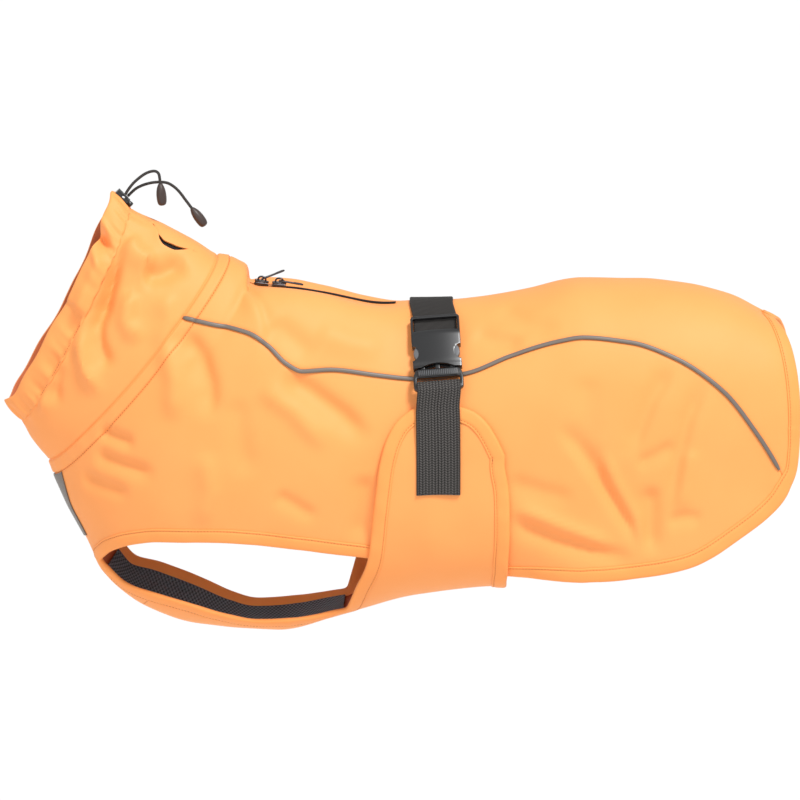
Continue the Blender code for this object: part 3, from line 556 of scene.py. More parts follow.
def closed_sheet(name: str, blocks: Sequence[Block], sharp: float = 48.0) -> Object:
    """Make a closed wall of cloth from grids, welded where they meet.

    Columns run to the tail and their points from the left over the back to the right, or the other way
    round under the belly, so that the faces point out.

    Args:
        name: the piece's name.
        blocks: the grids.
        sharp: the angle past which an edge is sharp, in degrees.

    Returns:
        The object.
    """
    outer, inner, charts, cells, base = [], [], [], [], 0
    for block in blocks:
        m, n = block.outer.shape[:2]
        index = base + np.arange(m * n).reshape(m, n)
        quads = np.stack((index[:-1, :-1], index[1:, :-1], index[1:, 1:], index[:-1, 1:]), -1)
        keep = np.ones((m - 1, n - 1), bool) if block.open_cells is None else ~block.open_cells
        cells.append(quads[keep])
        outer.append(block.outer.reshape(-1, 3))
        inner.append(block.inner.reshape(-1, 3))
        charts.append(chart_of(block.outer).reshape(-1, 2))
        base += m * n
    outer, inner, charts = np.concatenate(outer), np.concatenate(inner), np.concatenate(charts)
    keys = np.round(outer * WELD_PARTS).astype(int)
    _, first, back = np.unique(keys, axis=0, return_index=True, return_inverse=True)
    quads = back.reshape(-1)[np.concatenate(cells)]
    used, quads = np.unique(quads, return_inverse=True)
    quads = quads.reshape(-1, 4)
    outer, inner, charts, count = outer[first][used], inner[first][used], charts[first][used], len(used)
    starts, ends = quads.ravel(), np.roll(quads, -1, axis=1).ravel()
    real = starts != ends
    starts, ends = starts[real], ends[real]
    rim = ~np.isin(starts * count + ends, ends * count + starts)
    a, b = starts[rim], ends[rim]
    faces = [list(dict.fromkeys(quad)) for quad in quads.tolist()]
    faces += [[v + count for v in face[::-1]] for face in faces]
    faces = [face for face in faces if len(face) > 2]
    faces += np.stack((b, a, a + count, b + count), -1).tolist()
    obj = new_piece(name, np.concatenate((outer, inner)), faces, np.concatenate((charts, charts)), sharp)
    obj["rim_faces"] = len(a)
    return obj


def chart_of(points: Array) -> Array:
    """Each point's place on the flat cloth: how far along and how far across it is."""
    across = np.linalg.norm(np.diff(points, axis=1), axis=-1).mean(0)
    along = np.linalg.norm(np.diff(points, axis=0), axis=-1).mean(1)
    runs = [np.concatenate(([0], np.cumsum(steps))) for steps in (along, across)]
    return np.stack(np.meshgrid(*runs, indexing="ij"), -1)


def even_angles(station: float, first: float, last: float, count: int) -> Array:
    """Angles between two that are evenly spaced along the section.

    Args:
        station: the section's station.
        first: the first angle.
        last: the last one, on the same side of the belly's middle.
        count: how many spaces there are.

    Returns:
        The angles, both ends among them.
    """
    middle = -180.0 if last < -90 or first < -90 else 180.0
    offs = np.array([first - middle, last - middle])
    powers = np.sign(offs) * np.abs(offs) ** 0.4
    dense = np.linspace(powers[0], powers[1], 160)
    angles = middle + np.sign(dense) * np.abs(dense) ** 2.5
    along = run_of(FORM.bare(station, angles))
    found = np.interp(np.linspace(0, along[-1], count + 1), along, angles)
    found[0], found[-1] = first, last
    return found


def wall(station: Array, angle: Array, lift: Array = 0.0, thickness: float = CLOTH) -> Block:
    """A grid of cloth at some places, its outer face at a lift off the form."""
    outer = FORM.at(station, angle, lift)
    return Block(outer, outer - FORM.normal(station, angle) * thickness)


@dataclass
class Track:
    """A line over the cloth, such as an edge or a seam, with the cloth on one side of it."""

    station: Array
    angle: Array
    lift: Array
    turn: int = 1

    def evened(self, step: float) -> "Track":
        """The same line with places a step apart."""
        along = run_of(FORM.at(self.station, self.angle, self.lift, creased=False))
        keep = np.concatenate(([True], np.diff(along) > 1e-4))
        count = max(2, round(along[-1] / step))
        marks = np.linspace(0, along[-1], count + 1)
        fields = (self.station, self.angle, np.broadcast_to(self.lift, self.station.shape))
        return Track(*(np.interp(marks, along[keep], f[keep]) for f in fields), self.turn)

    def eased(self, times: int) -> "Track":
        """The same line with its corners rounded, its ends kept."""
        fields = []
        for values in (self.station, self.angle, np.broadcast_to(self.lift, self.station.shape)):
            values = np.array(values, float)
            for _ in range(times):
                values[1:-1] = (values[:-2] + 2 * values[1:-1] + values[2:]) / 4
            fields.append(values)
        return Track(*fields, self.turn)

    def ways(self) -> tuple[Array, Array, Array]:
        """The ways along the line, out of the cloth and into the cloth from the edge."""
        points = FORM.at(self.station, self.angle, self.lift, creased=False)
        along = unit(np.gradient(points, axis=0))
        out = FORM.normal(self.station, self.angle)
        return along, out, unit(np.cross(out, along)) * self.turn

    def inset(self, distance: float) -> "Track":
        """The line moved into the cloth, or off its edge where the distance is below nought."""
        station, angle, step = self.station, self.angle, 0.02
        way = self.ways()[2] * distance / 2
        for _ in range(2):
            by_station = (FORM.bare(station + step, angle) - FORM.bare(station - step, angle)) / (2 * step)
            by_angle = (FORM.bare(station, angle + 1) - FORM.bare(station, angle - 1)) / 2
            a, b = (by_station ** 2).sum(-1), (by_station * by_angle).sum(-1)
            c = (by_angle ** 2).sum(-1)
            d, e = (way * by_station).sum(-1), (way * by_angle).sum(-1)
            span = np.maximum(a * c - b * b, 1e-6)
            station = station + (d * c - e * b) / span
            angle = angle + (a * e - b * d) / span
        return Track(station, angle, self.lift, self.turn)

    def points(self, height: float = 0.0) -> Array:
        """The line's points at a height above the cloth."""
        return FORM.at(self.station, self.angle, self.lift + height)


def swept(name: str, rows: Array, sharp: float = 60.0) -> Object:
    """Make a closed strip from its cross-sections.

    Args:
        name: the piece's name.
        rows: the points of each cross-section's loop, (sections, points, 3).
        sharp: the angle past which an edge is sharp, in degrees.

    Returns:
        The object.
    """
    m, n = rows.shape[:2]
    index = np.arange(m * n).reshape(m, n)
    turned = np.roll(index, -1, axis=1)
    quads = np.stack((index[:-1], index[1:], turned[1:], turned[:-1]), -1).reshape(-1, 4)
    faces = [*quads.tolist(), index[0].tolist(), index[-1][::-1].tolist()]
    chart = np.stack(np.meshgrid(run_of(rows[:, 0]), run_of(rows[m // 2]), indexing="ij"), -1).reshape(-1, 2)
    obj = new_piece(name, rows.reshape(-1, 3), faces, chart, sharp)
    face_outwards(obj, sharp)
    return obj


def face_outwards(obj: Object, sharp: float, doubles: float = 0.0) -> None:
    """Merge a closed mesh's doubled points, if any, and turn its faces outwards."""
    bm = bmesh.new()
    bm.from_mesh(obj.data)
    if doubles:
        bmesh.ops.remove_doubles(bm, verts=bm.verts, dist=doubles * MM)
    bmesh.ops.recalc_face_normals(bm, faces=bm.faces)
    bm.to_mesh(obj.data)
    bm.free()
    shade(obj.data, sharp)


def plain_mesh(obj: Object, sharp: float, doubles: float = 0.0) -> Object:
    """Turn a curve or a modified object into a plain mesh object with the same name."""
    name = obj.name
    bpy.context.view_layer.update()
    graph = bpy.context.evaluated_depsgraph_get()
    mesh = bpy.data.meshes.new_from_object(obj.evaluated_get(graph))
    mesh.transform(obj.matrix_world)
    data = obj.data
    bpy.data.objects.remove(obj)
    (bpy.data.curves if isinstance(data, bpy.types.Curve) else bpy.data.meshes).remove(data)
    mesh.name = name
    made = placed(name, mesh)
    face_outwards(made, sharp, doubles)
    return made


def tinted(finish: Material, *parts: Object) -> list[Object]:
    """Give parts their material."""
    for part in parts:
        part.data.materials.clear()
        part.data.materials.append(finish)
    return list(parts)


def joined(name: str, parts: Sequence[Object], sharp: float = 48.0) -> Object:
    """Join plain meshes into one piece, each with its own material."""
    bm = bmesh.new()
    mesh = bpy.data.meshes.new(name)
    for part in parts:
        slots = []
        for finish in part.data.materials:
            if finish.name not in mesh.materials:
                mesh.materials.append(finish)
            slots.append(mesh.materials.find(finish.name))
        before = len(bm.faces)
        bm.from_mesh(part.data)
        bm.faces.ensure_lookup_table()
        for face in bm.faces[before:]:
            face.material_index = slots[face.material_index] if slots else 0
    for part in parts:
        bpy.data.meshes.remove(part.data)
    bm.to_mesh(mesh)
    bm.free()
    shade(mesh, sharp)
    return placed(name, mesh)


def flat_part(name: str, outlines: Sequence[Sequence], thickness: float, edge: float,
              axes: Matrix) -> Object:
    """A flat piece with rounded edges from closed outlines, the first its edge, the rest its holes.

    Args:
        name: the piece's name.
        outlines: the outlines, in millimetres.
        thickness: its thickness.
        edge: the radius of its edges.
        axes: where it goes, in millimetres.

    Returns:
        The object.
    """
    curve = bpy.data.curves.new(name, "CURVE")
    curve.dimensions = "2D"
    curve.fill_mode = "BOTH"
    curve.extrude = thickness / 2 - edge
    curve.bevel_depth = edge
    curve.bevel_resolution = 2
    curve.offset = -edge
    for outline in outlines:
        spline = curve.splines.new("POLY")
        spline.points.add(len(outline) - 1)
        spline.use_cyclic_u = True
        for knot, (x, y) in zip(spline.points, outline):
            knot.co = (x, y, 0.0, 1.0)
    obj = placed(name, curve)
    obj.matrix_world = Matrix.Scale(MM, 4) @ axes
    return plain_mesh(obj, 40.0, doubles=0.01)


def arc(centre: tuple[float, float], radius: float, first: float, last: float, count: int = 8) -> list:
    """Points on an arc between two angles in degrees."""
    turns = np.radians(np.linspace(first, last, count + 1))
    return [(centre[0] + radius * math.cos(t), centre[1] + radius * math.sin(t)) for t in turns]


def rounded_box(low: tuple, high: tuple, radius: float) -> list:
    """The outline of a rectangle with round corners."""
    (x1, y1), (x2, y2), r = low, high, radius
    corners = ((x2 - r, y2 - r), (x1 + r, y2 - r), (x1 + r, y1 + r), (x2 - r, y1 + r))
    return [spot for i, centre in enumerate(corners) for spot in arc(centre, r, 90 * i, 90 * i + 90, 5)]


def moved(axes: Matrix, places: Sequence) -> Array:
    """Places in some axes, as points."""
    return np.array([list(axes @ Vector(place)) for place in places])


def off_face(axes: Matrix, distance: float) -> Matrix:
    """The same axes, moved along their own Z."""
    return axes @ Matrix.Translation((0, 0, distance))


def smooth_line(route: Sequence, step: float) -> Array:
    """Points about a step apart on a smooth curve through a route's points."""
    knots = np.array(route, float)
    ends = np.vstack((2 * knots[0] - knots[1], knots, 2 * knots[-1] - knots[-2]))
    path = []
    for a, b, c, d in zip(ends, ends[1:], ends[2:], ends[3:]):
        count = max(1, round(float(np.linalg.norm(c - b)) / step))
        for t in np.arange(count) / count:
            path.append((2 * b + (c - a) * t + (2 * a - 5 * b + 4 * c - d) * t * t
                         + (3 * b - a - 3 * c + d) * t ** 3) / 2)
    return np.array(path + [knots[-1]])


def rod(name: str, path: Array, radius: Array, sides: int = 12) -> Object:
    """A round closed tube along a path, its radius the same or one for each point."""
    along = unit(np.gradient(path, axis=0))
    side = unit(np.cross(along, np.where(np.abs(along[:1]) > 0.9, (0.0, 1.0, 0.3), (1.0, 0.2, 0.1))))
    up = np.cross(side, along)
    turns = np.linspace(0, 2 * math.pi, sides, endpoint=False)
    ring = side[:, None] * np.cos(turns)[:, None] + up[:, None] * np.sin(turns)[:, None]
    radius = np.broadcast_to(np.asarray(radius, float), (len(path),))
    return swept(name, path[:, None] + ring * radius[:, None, None])


# Node trees


class Nodes:
    """A short way to write a node tree."""

    def __init__(self, tree: bpy.types.NodeTree) -> None:
        """Take the tree."""
        self.tree = tree

    def add(self, kind: str, inputs: Optional[dict] = None, **settings: object) -> bpy.types.Node:
        """Add a node.

        Args:
            kind: its type.
            inputs: the values or the sockets of its inputs, by name or number.
            settings: its properties.

        Returns:
            The node.
        """
        node = self.tree.nodes.new(kind)
        for key, value in settings.items():
            setattr(node, key, value)
        self.fill(node, inputs or {})
        return node

    def fill(self, node: bpy.types.Node, inputs: dict) -> None:
        """Set a node's inputs, to values or from sockets, by name or number."""
        for key, value in inputs.items():
            if isinstance(value, Socket):
                self.tree.links.new(value, node.inputs[key])
            else:
                node.inputs[key].default_value = value

    def maths(self, operation: str, a: object, b: object = 0.0) -> Socket:
        """The result of a Math node."""
        return self.add("ShaderNodeMath", {0: a, 1: b}, operation=operation).outputs[0]

    def mixed(self, share: object, a: object, b: object) -> Socket:
        """The result of mixing two colours."""
        return self.add("ShaderNodeMix", {"Factor": share, 6: a, 7: b}, data_type="RGBA").outputs[2]

    def give(self, name: str, value: Socket) -> None:
        """Give a group one of its outputs."""
        self.tree.links.new(value, self.tree.nodes["Group Output"].inputs[name])


def new_group(name: str, inputs: dict[str, str], outputs: dict[str, str],
              kind: str = "ShaderNodeTree") -> bpy.types.NodeTree:
    """An empty node group with its sockets.

    Args:
        name: the group's name.
        inputs: the kinds of its inputs, by name.
        outputs: the kinds of its outputs, by name.
        kind: the tree's own kind.

    Returns:
        The group, with a Group Input and a Group Output node.
    """
    tree = bpy.data.node_groups.new(name, kind)
    for way, sockets in (("INPUT", inputs), ("OUTPUT", outputs)):
        for socket, holds in sockets.items():
            tree.interface.new_socket(name=socket, in_out=way, socket_type="NodeSocket" + holds)
    tree.nodes.new("NodeGroupInput")
    tree.nodes.new("NodeGroupOutput")
    return tree


# Beads along lines, made by Geometry Nodes


class BeadRun:
    """A node tree that sets small beads along lines: stitches, ribs or the teeth of a coil."""

    INPUTS = {"Lines": "Geometry", "Pitch": "Float", "Bead size": "Vector", "Up": "Vector", "Sway": "Float",
              "Seed": "Int", "Finish": "Material"}
    SEED = 7

    def __init__(self) -> None:
        """Build the tree."""
        self.tree = new_group("bead_run", self.INPUTS, {"Beads": "Geometry"}, "GeometryNodeTree")
        self.sockets = {item.name: item.identifier for item in self.tree.interface.items_tree
                        if item.in_out == "INPUT"}
        nodes, given = Nodes(self.tree), self.tree.nodes["Group Input"].outputs
        curve = nodes.add("GeometryNodeMeshToCurve", {"Mesh": given["Lines"]}).outputs["Curve"]
        spots = nodes.add("GeometryNodeResampleCurve", {"Curve": curve, "Length": given["Pitch"]},
                          mode="LENGTH")
        bead = nodes.add("GeometryNodeMeshIcoSphere", {"Radius": 0.5, "Subdivisions": 1})
        beads = nodes.add("GeometryNodeInstanceOnPoints", {
            "Points": spots.outputs["Curve"], "Instance": bead.outputs["Mesh"],
            "Rotation": self.turn(nodes, given), "Scale": given["Bead size"]})
        real = nodes.add("GeometryNodeRealizeInstances", {"Geometry": beads.outputs["Instances"]})
        smooth = nodes.add("GeometryNodeSetShadeSmooth", {"Geometry": real.outputs["Geometry"]})
        dressed = nodes.add("GeometryNodeSetMaterial", {"Geometry": smooth.outputs["Geometry"],
                                                        "Material": given["Finish"]})
        nodes.give("Beads", dressed.outputs["Geometry"])

    def turn(self, nodes: Nodes, given: bpy.types.NodeOutputs) -> Socket:
        """Each bead's turn: along its line, upright and a little out of line.

        Args:
            nodes: the tree's nodes.
            given: the tree's inputs.

        Returns:
            The socket with the rotation.
        """
        tangent = nodes.add("GeometryNodeInputTangent").outputs["Tangent"]
        ahead = nodes.add("FunctionNodeAlignRotationToVector", {"Vector": tangent}, axis="X")
        upright = nodes.add("FunctionNodeAlignRotationToVector",
                            {"Rotation": ahead.outputs["Rotation"], "Vector": given["Up"]},
                            axis="Z", pivot_axis="X")
        low = nodes.maths("MULTIPLY", given["Sway"], -1.0)
        chance = nodes.add("FunctionNodeRandomValue", {2: low, 3: given["Sway"], "Seed": given["Seed"]},
                           data_type="FLOAT")
        twist = nodes.add("ShaderNodeCombineXYZ", {"Z": chance.outputs[1]}).outputs[0]
        sway = nodes.add("FunctionNodeEulerToRotation", {0: twist}).outputs[0]
        both = {"Rotation": upright.outputs["Rotation"], "Rotate By": sway}
        turned = nodes.add("FunctionNodeRotateRotation", both, rotation_space="LOCAL")
        return turned.outputs["Rotation"]

    def lay(self, name: str, lines: Sequence[Array], pitch: float, size: tuple, finish: Material,
            up: tuple = (0, 0, 1), sway: float = 0.0) -> Object:
        """Set beads along lines.

        Args:
            name: the piece's name.
            lines: the lines' points, in millimetres.
            pitch: how far apart the beads are.
            size: a bead's length, width and height.
            finish: the beads' material.
            up: the way that a bead's height points.
            sway: how far a bead may turn out of line, in radians.

        Returns:
            The beads as one mesh.
        """
        mesh = bpy.data.meshes.new(name)
        points = np.concatenate(lines) * MM
        edges, base = [], 0
        for line in lines:
            edges += [(base + i, base + i + 1) for i in range(len(line) - 1)]
            base += len(line)
        mesh.from_pydata(points.tolist(), edges, [])
        obj = placed(name, mesh)
        modifier = obj.modifiers.new("beads", "NODES")
        values = {"Pitch": pitch * MM, "Bead size": [s * MM for s in size], "Up": list(map(float, up)),
                  "Sway": sway, "Seed": self.SEED, "Finish": finish}
        modifier.node_group = self.tree
        for socket, value in values.items():
            modifier[self.sockets[socket]] = value
        bpy.context.view_layer.update()
        graph = bpy.context.evaluated_depsgraph_get()
        made = bpy.data.meshes.new_from_object(obj.evaluated_get(graph))
        obj.modifiers.remove(modifier)
        obj.data = made
        bpy.data.meshes.remove(mesh)
        made.name = name
        tinted(finish, obj)
        made.polygons.foreach_set("material_index", [0] * len(made.polygons))
        return obj


# Finishes


class Weave(Enum):
    """How the threads of a cloth cross, with the slant of the lengthwise ones."""

    PLAIN = 0.0
    TWILL = 1.0
    NET = 0.5
    BRAID = 1.7


def weave_group() -> bpy.types.NodeTree:
    """Threads that cross: how high the cloth is, from a chart in metres."""
    found = bpy.data.node_groups.get("crossed_threads")
    if found:
        return found
    kinds = {"Chart": "Vector", "Thread width": "Float", "Slant": "Float", "Slubs": "Float"}
    tree = new_group("crossed_threads", kinds, {"Height": "Float"})
    nodes, given = Nodes(tree), tree.nodes["Group Input"].outputs
    split = nodes.add("ShaderNodeSeparateXYZ", {0: given["Chart"]})
    slanted = nodes.maths("MULTIPLY", split.outputs[1], given["Slant"])
    run = nodes.maths("ADD", split.outputs[0], slanted)
    turns = nodes.maths("DIVIDE", math.pi, given["Thread width"])
    warp = nodes.maths("SINE", nodes.maths("MULTIPLY", run, turns))
    weft = nodes.maths("SINE", nodes.maths("MULTIPLY", split.outputs[1], turns))
    crossed = nodes.maths("MULTIPLY", warp, weft)
    slub = nodes.add("ShaderNodeTexNoise", {"Vector": given["Chart"], "Scale": 900.0, "Detail": 2.0})
    rough = nodes.maths("MULTIPLY", slub.outputs["Fac"], given["Slubs"])
    nodes.give("Height", nodes.maths("ADD", nodes.maths("MULTIPLY", crossed, 0.5), rough))
    return tree


def wear_group() -> bpy.types.NodeTree:
    """Handling marks: broad patches and fine grain on Object coordinates."""
    found = bpy.data.node_groups.get("handling_marks")
    if found:
        return found
    kinds = {"Place": "Vector", "Patch scale": "Float", "Grain scale": "Float"}
    tree = new_group("handling_marks", kinds, {"Patches": "Float", "Grain": "Float"})
    nodes, given = Nodes(tree), tree.nodes["Group Input"].outputs
    for mark, scale, detail in (("Patches", "Patch scale", 3.0), ("Grain", "Grain scale", 4.0)):
        inputs = {"Vector": given["Place"], "Scale": given[scale], "Detail": detail}
        nodes.give(mark, nodes.add("ShaderNodeTexNoise", inputs).outputs["Fac"])
    return tree


@dataclass(frozen=True)
class Finish:
    """A surface: its colours, its gloss and the marks that it shows."""

    name: str
    colour: tuple
    # The second colour: random patches of tone, or, on the webbing, the net and the braid, a painted
    # highlight on the threads' raised tops.
    second: tuple
    roughness: float
    metallic: float = 0.0
    sheen: float = 0.0
    specular: float = 0.5
    coat: float = 0.0
    patch_scale: float = 14.0
    grain_scale: float = 1500.0
    grain_height: float = 0.00003
    weave: Optional[Weave] = None
    thread_width: float = 0.0006
    weave_height: float = 0.00008
    yarn_tops_highlit: bool = False

    def build(self) -> Material:
        """Make the material."""
        material = bpy.data.materials.new(self.name)
        material.use_nodes = True
        nodes = Nodes(material.node_tree)
        place = nodes.add("ShaderNodeTexCoord").outputs
        marks = nodes.add("ShaderNodeGroup", {"Place": place["Object"], "Patch scale": self.patch_scale,
                                              "Grain scale": self.grain_scale}, node_tree=wear_group())
        grain = marks.outputs["Grain"]
        share = nodes.add("ShaderNodeMapRange", {0: marks.outputs["Patches"], 1: 0.35, 2: 0.68}).outputs[0]
        height = nodes.maths("MULTIPLY", grain, self.grain_height)
        # Woven straps: the colour follows the yarn attribute, so the second colour is a painted highlight on
        # the yarns' raised tops.
        if self.yarn_tops_highlit:
            shown = nodes.add("ShaderNodeAttribute", attribute_name="yarn").outputs["Fac"]
            lit = nodes.maths("ADD", nodes.maths("MULTIPLY", grain, 0.5), 0.72)
            lit = nodes.add("ShaderNodeMath", {0: shown, 1: lit}, operation="MULTIPLY", use_clamp=True)
            share = nodes.maths("POWER", lit.outputs[0], 2.4)
        if self.weave:
            threads = {"Chart": place["UV"], "Thread width": self.thread_width, "Slant": self.weave.value,
                       "Slubs": 0.25}
            high = nodes.add("ShaderNodeGroup", threads, node_tree=weave_group()).outputs["Height"]
            height = nodes.maths("ADD", height, nodes.maths("MULTIPLY", high, self.weave_height))
            # On the net and the braid the colour follows the threads' height: their tops take the second
            # colour, a painted highlight.
            if self.weave in (Weave.NET, Weave.BRAID):
                share = nodes.maths("MULTIPLY", nodes.maths("ADD", high, 0.35), 1.1)
        rough = {0: grain, 3: self.roughness - 0.06, 4: self.roughness + 0.07}
        bump = {"Height": height, "Distance": 1.0, "Strength": 1.0}
        nodes.fill(material.node_tree.nodes["Principled BSDF"], {
            "Base Color": nodes.mixed(share, (*self.colour, 1), (*self.second, 1)),
            "Roughness": nodes.add("ShaderNodeMapRange", rough).outputs[0],
            "Normal": nodes.add("ShaderNodeBump", bump).outputs[0],
            "Metallic": self.metallic, "Specular IOR Level": self.specular,
            "Sheen Weight": self.sheen, "Sheen Roughness": 0.45,
            "Coat Weight": self.coat, "Coat Roughness": 0.25,
        })
        return material


@dataclass(frozen=True)
class Wardrobe:
    """All the coat's finishes."""

    rain_cloth: Finish = Finish("rain_cloth", (0.97, 0.358, 0.102), (0.96, 0.343, 0.094), 0.56, sheen=0.04,
                                specular=0.3, weave=Weave.PLAIN, thread_width=0.0005, weave_height=0.00003)
    # The coat's inner faces: the same rain cloth made darker, as painted shade for the inside of the coat.
    cloth_inside: Finish = Finish("cloth_inside", (0.6, 0.15, 0.05), (0.54, 0.125, 0.04), 0.7,
                                  weave=Weave.PLAIN, thread_width=0.0005, weave_height=0.00003)
    binding_tape: Finish = Finish("binding_tape", (0.97, 0.345, 0.09), (0.955, 0.327, 0.082), 0.6, sheen=0.04,
                                  specular=0.3, weave=Weave.TWILL, weave_height=0.00004)
    thread: Finish = Finish("orange_thread", (0.46, 0.1, 0.018), (0.4, 0.085, 0.015), 0.6)
    lining_patch: Finish = Finish("lining_patch", (0.012, 0.0085, 0.0085),
                                  (0.018, 0.013, 0.013), 0.7, specular=0.2)
    # Its grey-blue second colour is a painted highlight on the net's raised threads.
    lining: Finish = Finish("lining_mesh", (0.009, 0.0075, 0.0085), (0.24, 0.25, 0.28), 0.42, weave=Weave.NET,
                            thread_width=0.0019, weave_height=0.0003)
    reflective: Finish = Finish("reflective_tape", (0.165, 0.138, 0.117), (0.15, 0.126, 0.106), 0.4,
                                weave=Weave.TWILL, thread_width=0.0005, weave_height=0.00003)
    # Its second colour is a painted highlight on the raised yarns.
    webbing: Finish = Finish("webbing_yarn", (0.0045, 0.004, 0.0038), (0.135, 0.125, 0.118), 0.6,
                             specular=0.14, yarn_tops_highlit=True, grain_scale=2600.0, grain_height=0.00006)
    plastic: Finish = Finish("buckle_plastic", (0.012, 0.0122, 0.0132), (0.01, 0.0102, 0.0112), 0.3,
                             coat=0.25, grain_scale=1800.0, grain_height=0.000012)
    prong_plastic: Finish = Finish("prong_plastic", (0.11, 0.113, 0.12), (0.1, 0.103, 0.11), 0.42,
                                   grain_scale=1800.0, grain_height=0.000012)
    zip_weave: Finish = Finish("zip_tape", (0.016, 0.011, 0.011), (0.012, 0.009, 0.009), 0.68, specular=0.2,
                               weave=Weave.TWILL, thread_width=0.0005, weave_height=0.00006)
    coil: Finish = Finish("zip_coil", (0.014, 0.01, 0.01), (0.011, 0.008, 0.008), 0.5, specular=0.25)
    metal: Finish = Finish("gunmetal", (0.1, 0.09, 0.094), (0.045, 0.04, 0.042), 0.3, metallic=0.9,
                           patch_scale=220.0, grain_scale=4000.0, grain_height=0.00001)
    # Its second colour is a painted highlight on the braid's raised threads.
    cord: Finish = Finish("braided_cord", (0.016, 0.014, 0.013), (0.062, 0.056, 0.053), 0.66,
                          specular=0.3, weave=Weave.BRAID, thread_width=0.0009, weave_height=0.00012)
    cord_end: Finish = Finish("cord_end_rubber", (0.05, 0.032, 0.027), (0.042, 0.027, 0.023), 0.44,
                              grain_scale=1600.0, grain_height=0.00002)


class Rack:
    """The finishes as materials, each made once."""

    def __init__(self) -> None:
        """Make every material."""
        wardrobe = Wardrobe()
        self.made = {name: getattr(wardrobe, name).build() for name in wardrobe.__dataclass_fields__}

    def __getattr__(self, name: str) -> Material:
        """A material by its finish's name."""
        return self.made[name]


class Cut(NamedTuple):
    """A sheet's cut, in metres, how it is held and what it lies on or hangs from."""

    width: float
    length: float
    held: str
    rests_on: tuple
    area: Optional[float] = None


def dress(obj: Object, finish: Material, slot: str, *nodes: str,
          body: str = "coat", inside: Optional[Material] = None) -> Object:
    """Give a piece its material and its body, hide the imported nodes that it stands for and log its faces
    and area.

    Args:
        obj: the piece.
        finish: its material, unless its faces have theirs.
        slot: not used.
        nodes: the nodes that it stands for.
        body: the body that it rides on.
        inside: the material of a sheet's inner faces.

    Returns:
        The piece.
    """
    count = len(obj.data.polygons)
    if finish:
        tinted(finish, obj)
    if inside:
        obj.data.materials.append(inside)
        half, walls = np.zeros(count, int), count - obj.get("rim_faces", 0)
        half[walls // 2:walls] = 1
        obj.data.polygons.foreach_set("material_index", half)
    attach(obj, body)
    if nodes:
        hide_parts(*nodes)
    area = sum(face.area for face in obj.data.polygons)
    LOG.info("%s: %d faces, %.4f m2", obj.name, count, area / 2)
    return obj


def dress_cloth(rack: Rack, name: str, node: str, *blocks: Block, sharp: float = 48.0) -> Object:
    """Make a piece of rain cloth from its grids and dress it."""
    made = closed_sheet(name, blocks, sharp)
    # The inner faces take the darker inside cloth: painted shade.
    return dress(made, rack.rain_cloth, "shell_cloth", node, inside=rack.cloth_inside)


# The cloth's panels

NECK_MARKS = (4.03, 4.07, 4.12, 4.22, 4.34, 4.46, 4.58, 4.7, 4.82, 4.9, 4.94, 4.97, 5.0, 5.03, 5.07, 5.13)


def columns(first: float, last: float, step: float, angle: float = 60.0, marks: Sequence = ()) -> Array:
    """Stations about a step apart along the cloth, with some given ones among them."""
    dense = np.linspace(first, last, 1500)
    along = run_of(FORM.bare(dense, angle))
    even = np.interp(np.linspace(0, along[-1], round(along[-1] / step) + 1), along, dense)
    marks = [m for m in marks if first <= m <= last] + [first, last]
    even = [s for s in even if min(abs(s - m) for m in marks) > 0.03]
    return np.array(sorted(set(even) | set(marks)))


def row_angles(station: float, first: float, last: float, count: int, near_first: Sequence = (),
               near_last: Sequence = ()) -> Array:
    """Angles down a column: given distances from its two ends and even ones between them.

    Args:
        station: the column's station.
        first: the first angle.
        last: the last angle.
        count: how many even spaces there are.
        near_first: distances from the first angle, in millimetres.
        near_last: distances from the last angle.

    Returns:
        The angles.
    """
    dense = even_angles(station, first, last, 120)
    along = run_of(FORM.bare(station, dense))
    total = along[-1]
    scale = min(1.0, total / (3 * max([1.0, *near_first, *near_last])))
    low = np.array([0.0, *near_first]) * scale
    high = total - np.array([*near_last[::-1], 0.0]) * scale
    even = np.linspace(low[-1], high[0], count + 1)[1:-1]
    found = np.interp(np.concatenate((low, even, high)), along, dense)
    found[0], found[-1] = first, last
    return found


def piping_angle(station: Array) -> Array:
    """The angle of the yoke seam."""
    return FORM.seam_angle(station, PIPING)


def lower_angle(station: Array) -> Array:
    """The angle of the body's lower edge: the leg opening and then the hem."""
    return FORM.seam_angle(station, LOWER_EDGE, low=60.0)


def bib_angle(station: Array, flank: Flank = Flank.LEFT) -> Array:
    """The angle of the bib's edge, which sits a little higher on the right."""
    rise = np.where(np.asarray(station) < 12, RIGHT_BIB_RISE(station), 0.0) if flank is Flank.RIGHT else 0.0
    return FORM.seam_angle(station, BIB_EDGE, low=100.0) - rise


def seam_tuck(distance: Array) -> Array:
    """How far a panel's edge turns down beside a seam."""
    return -1.0 * bell(distance, 1.7)


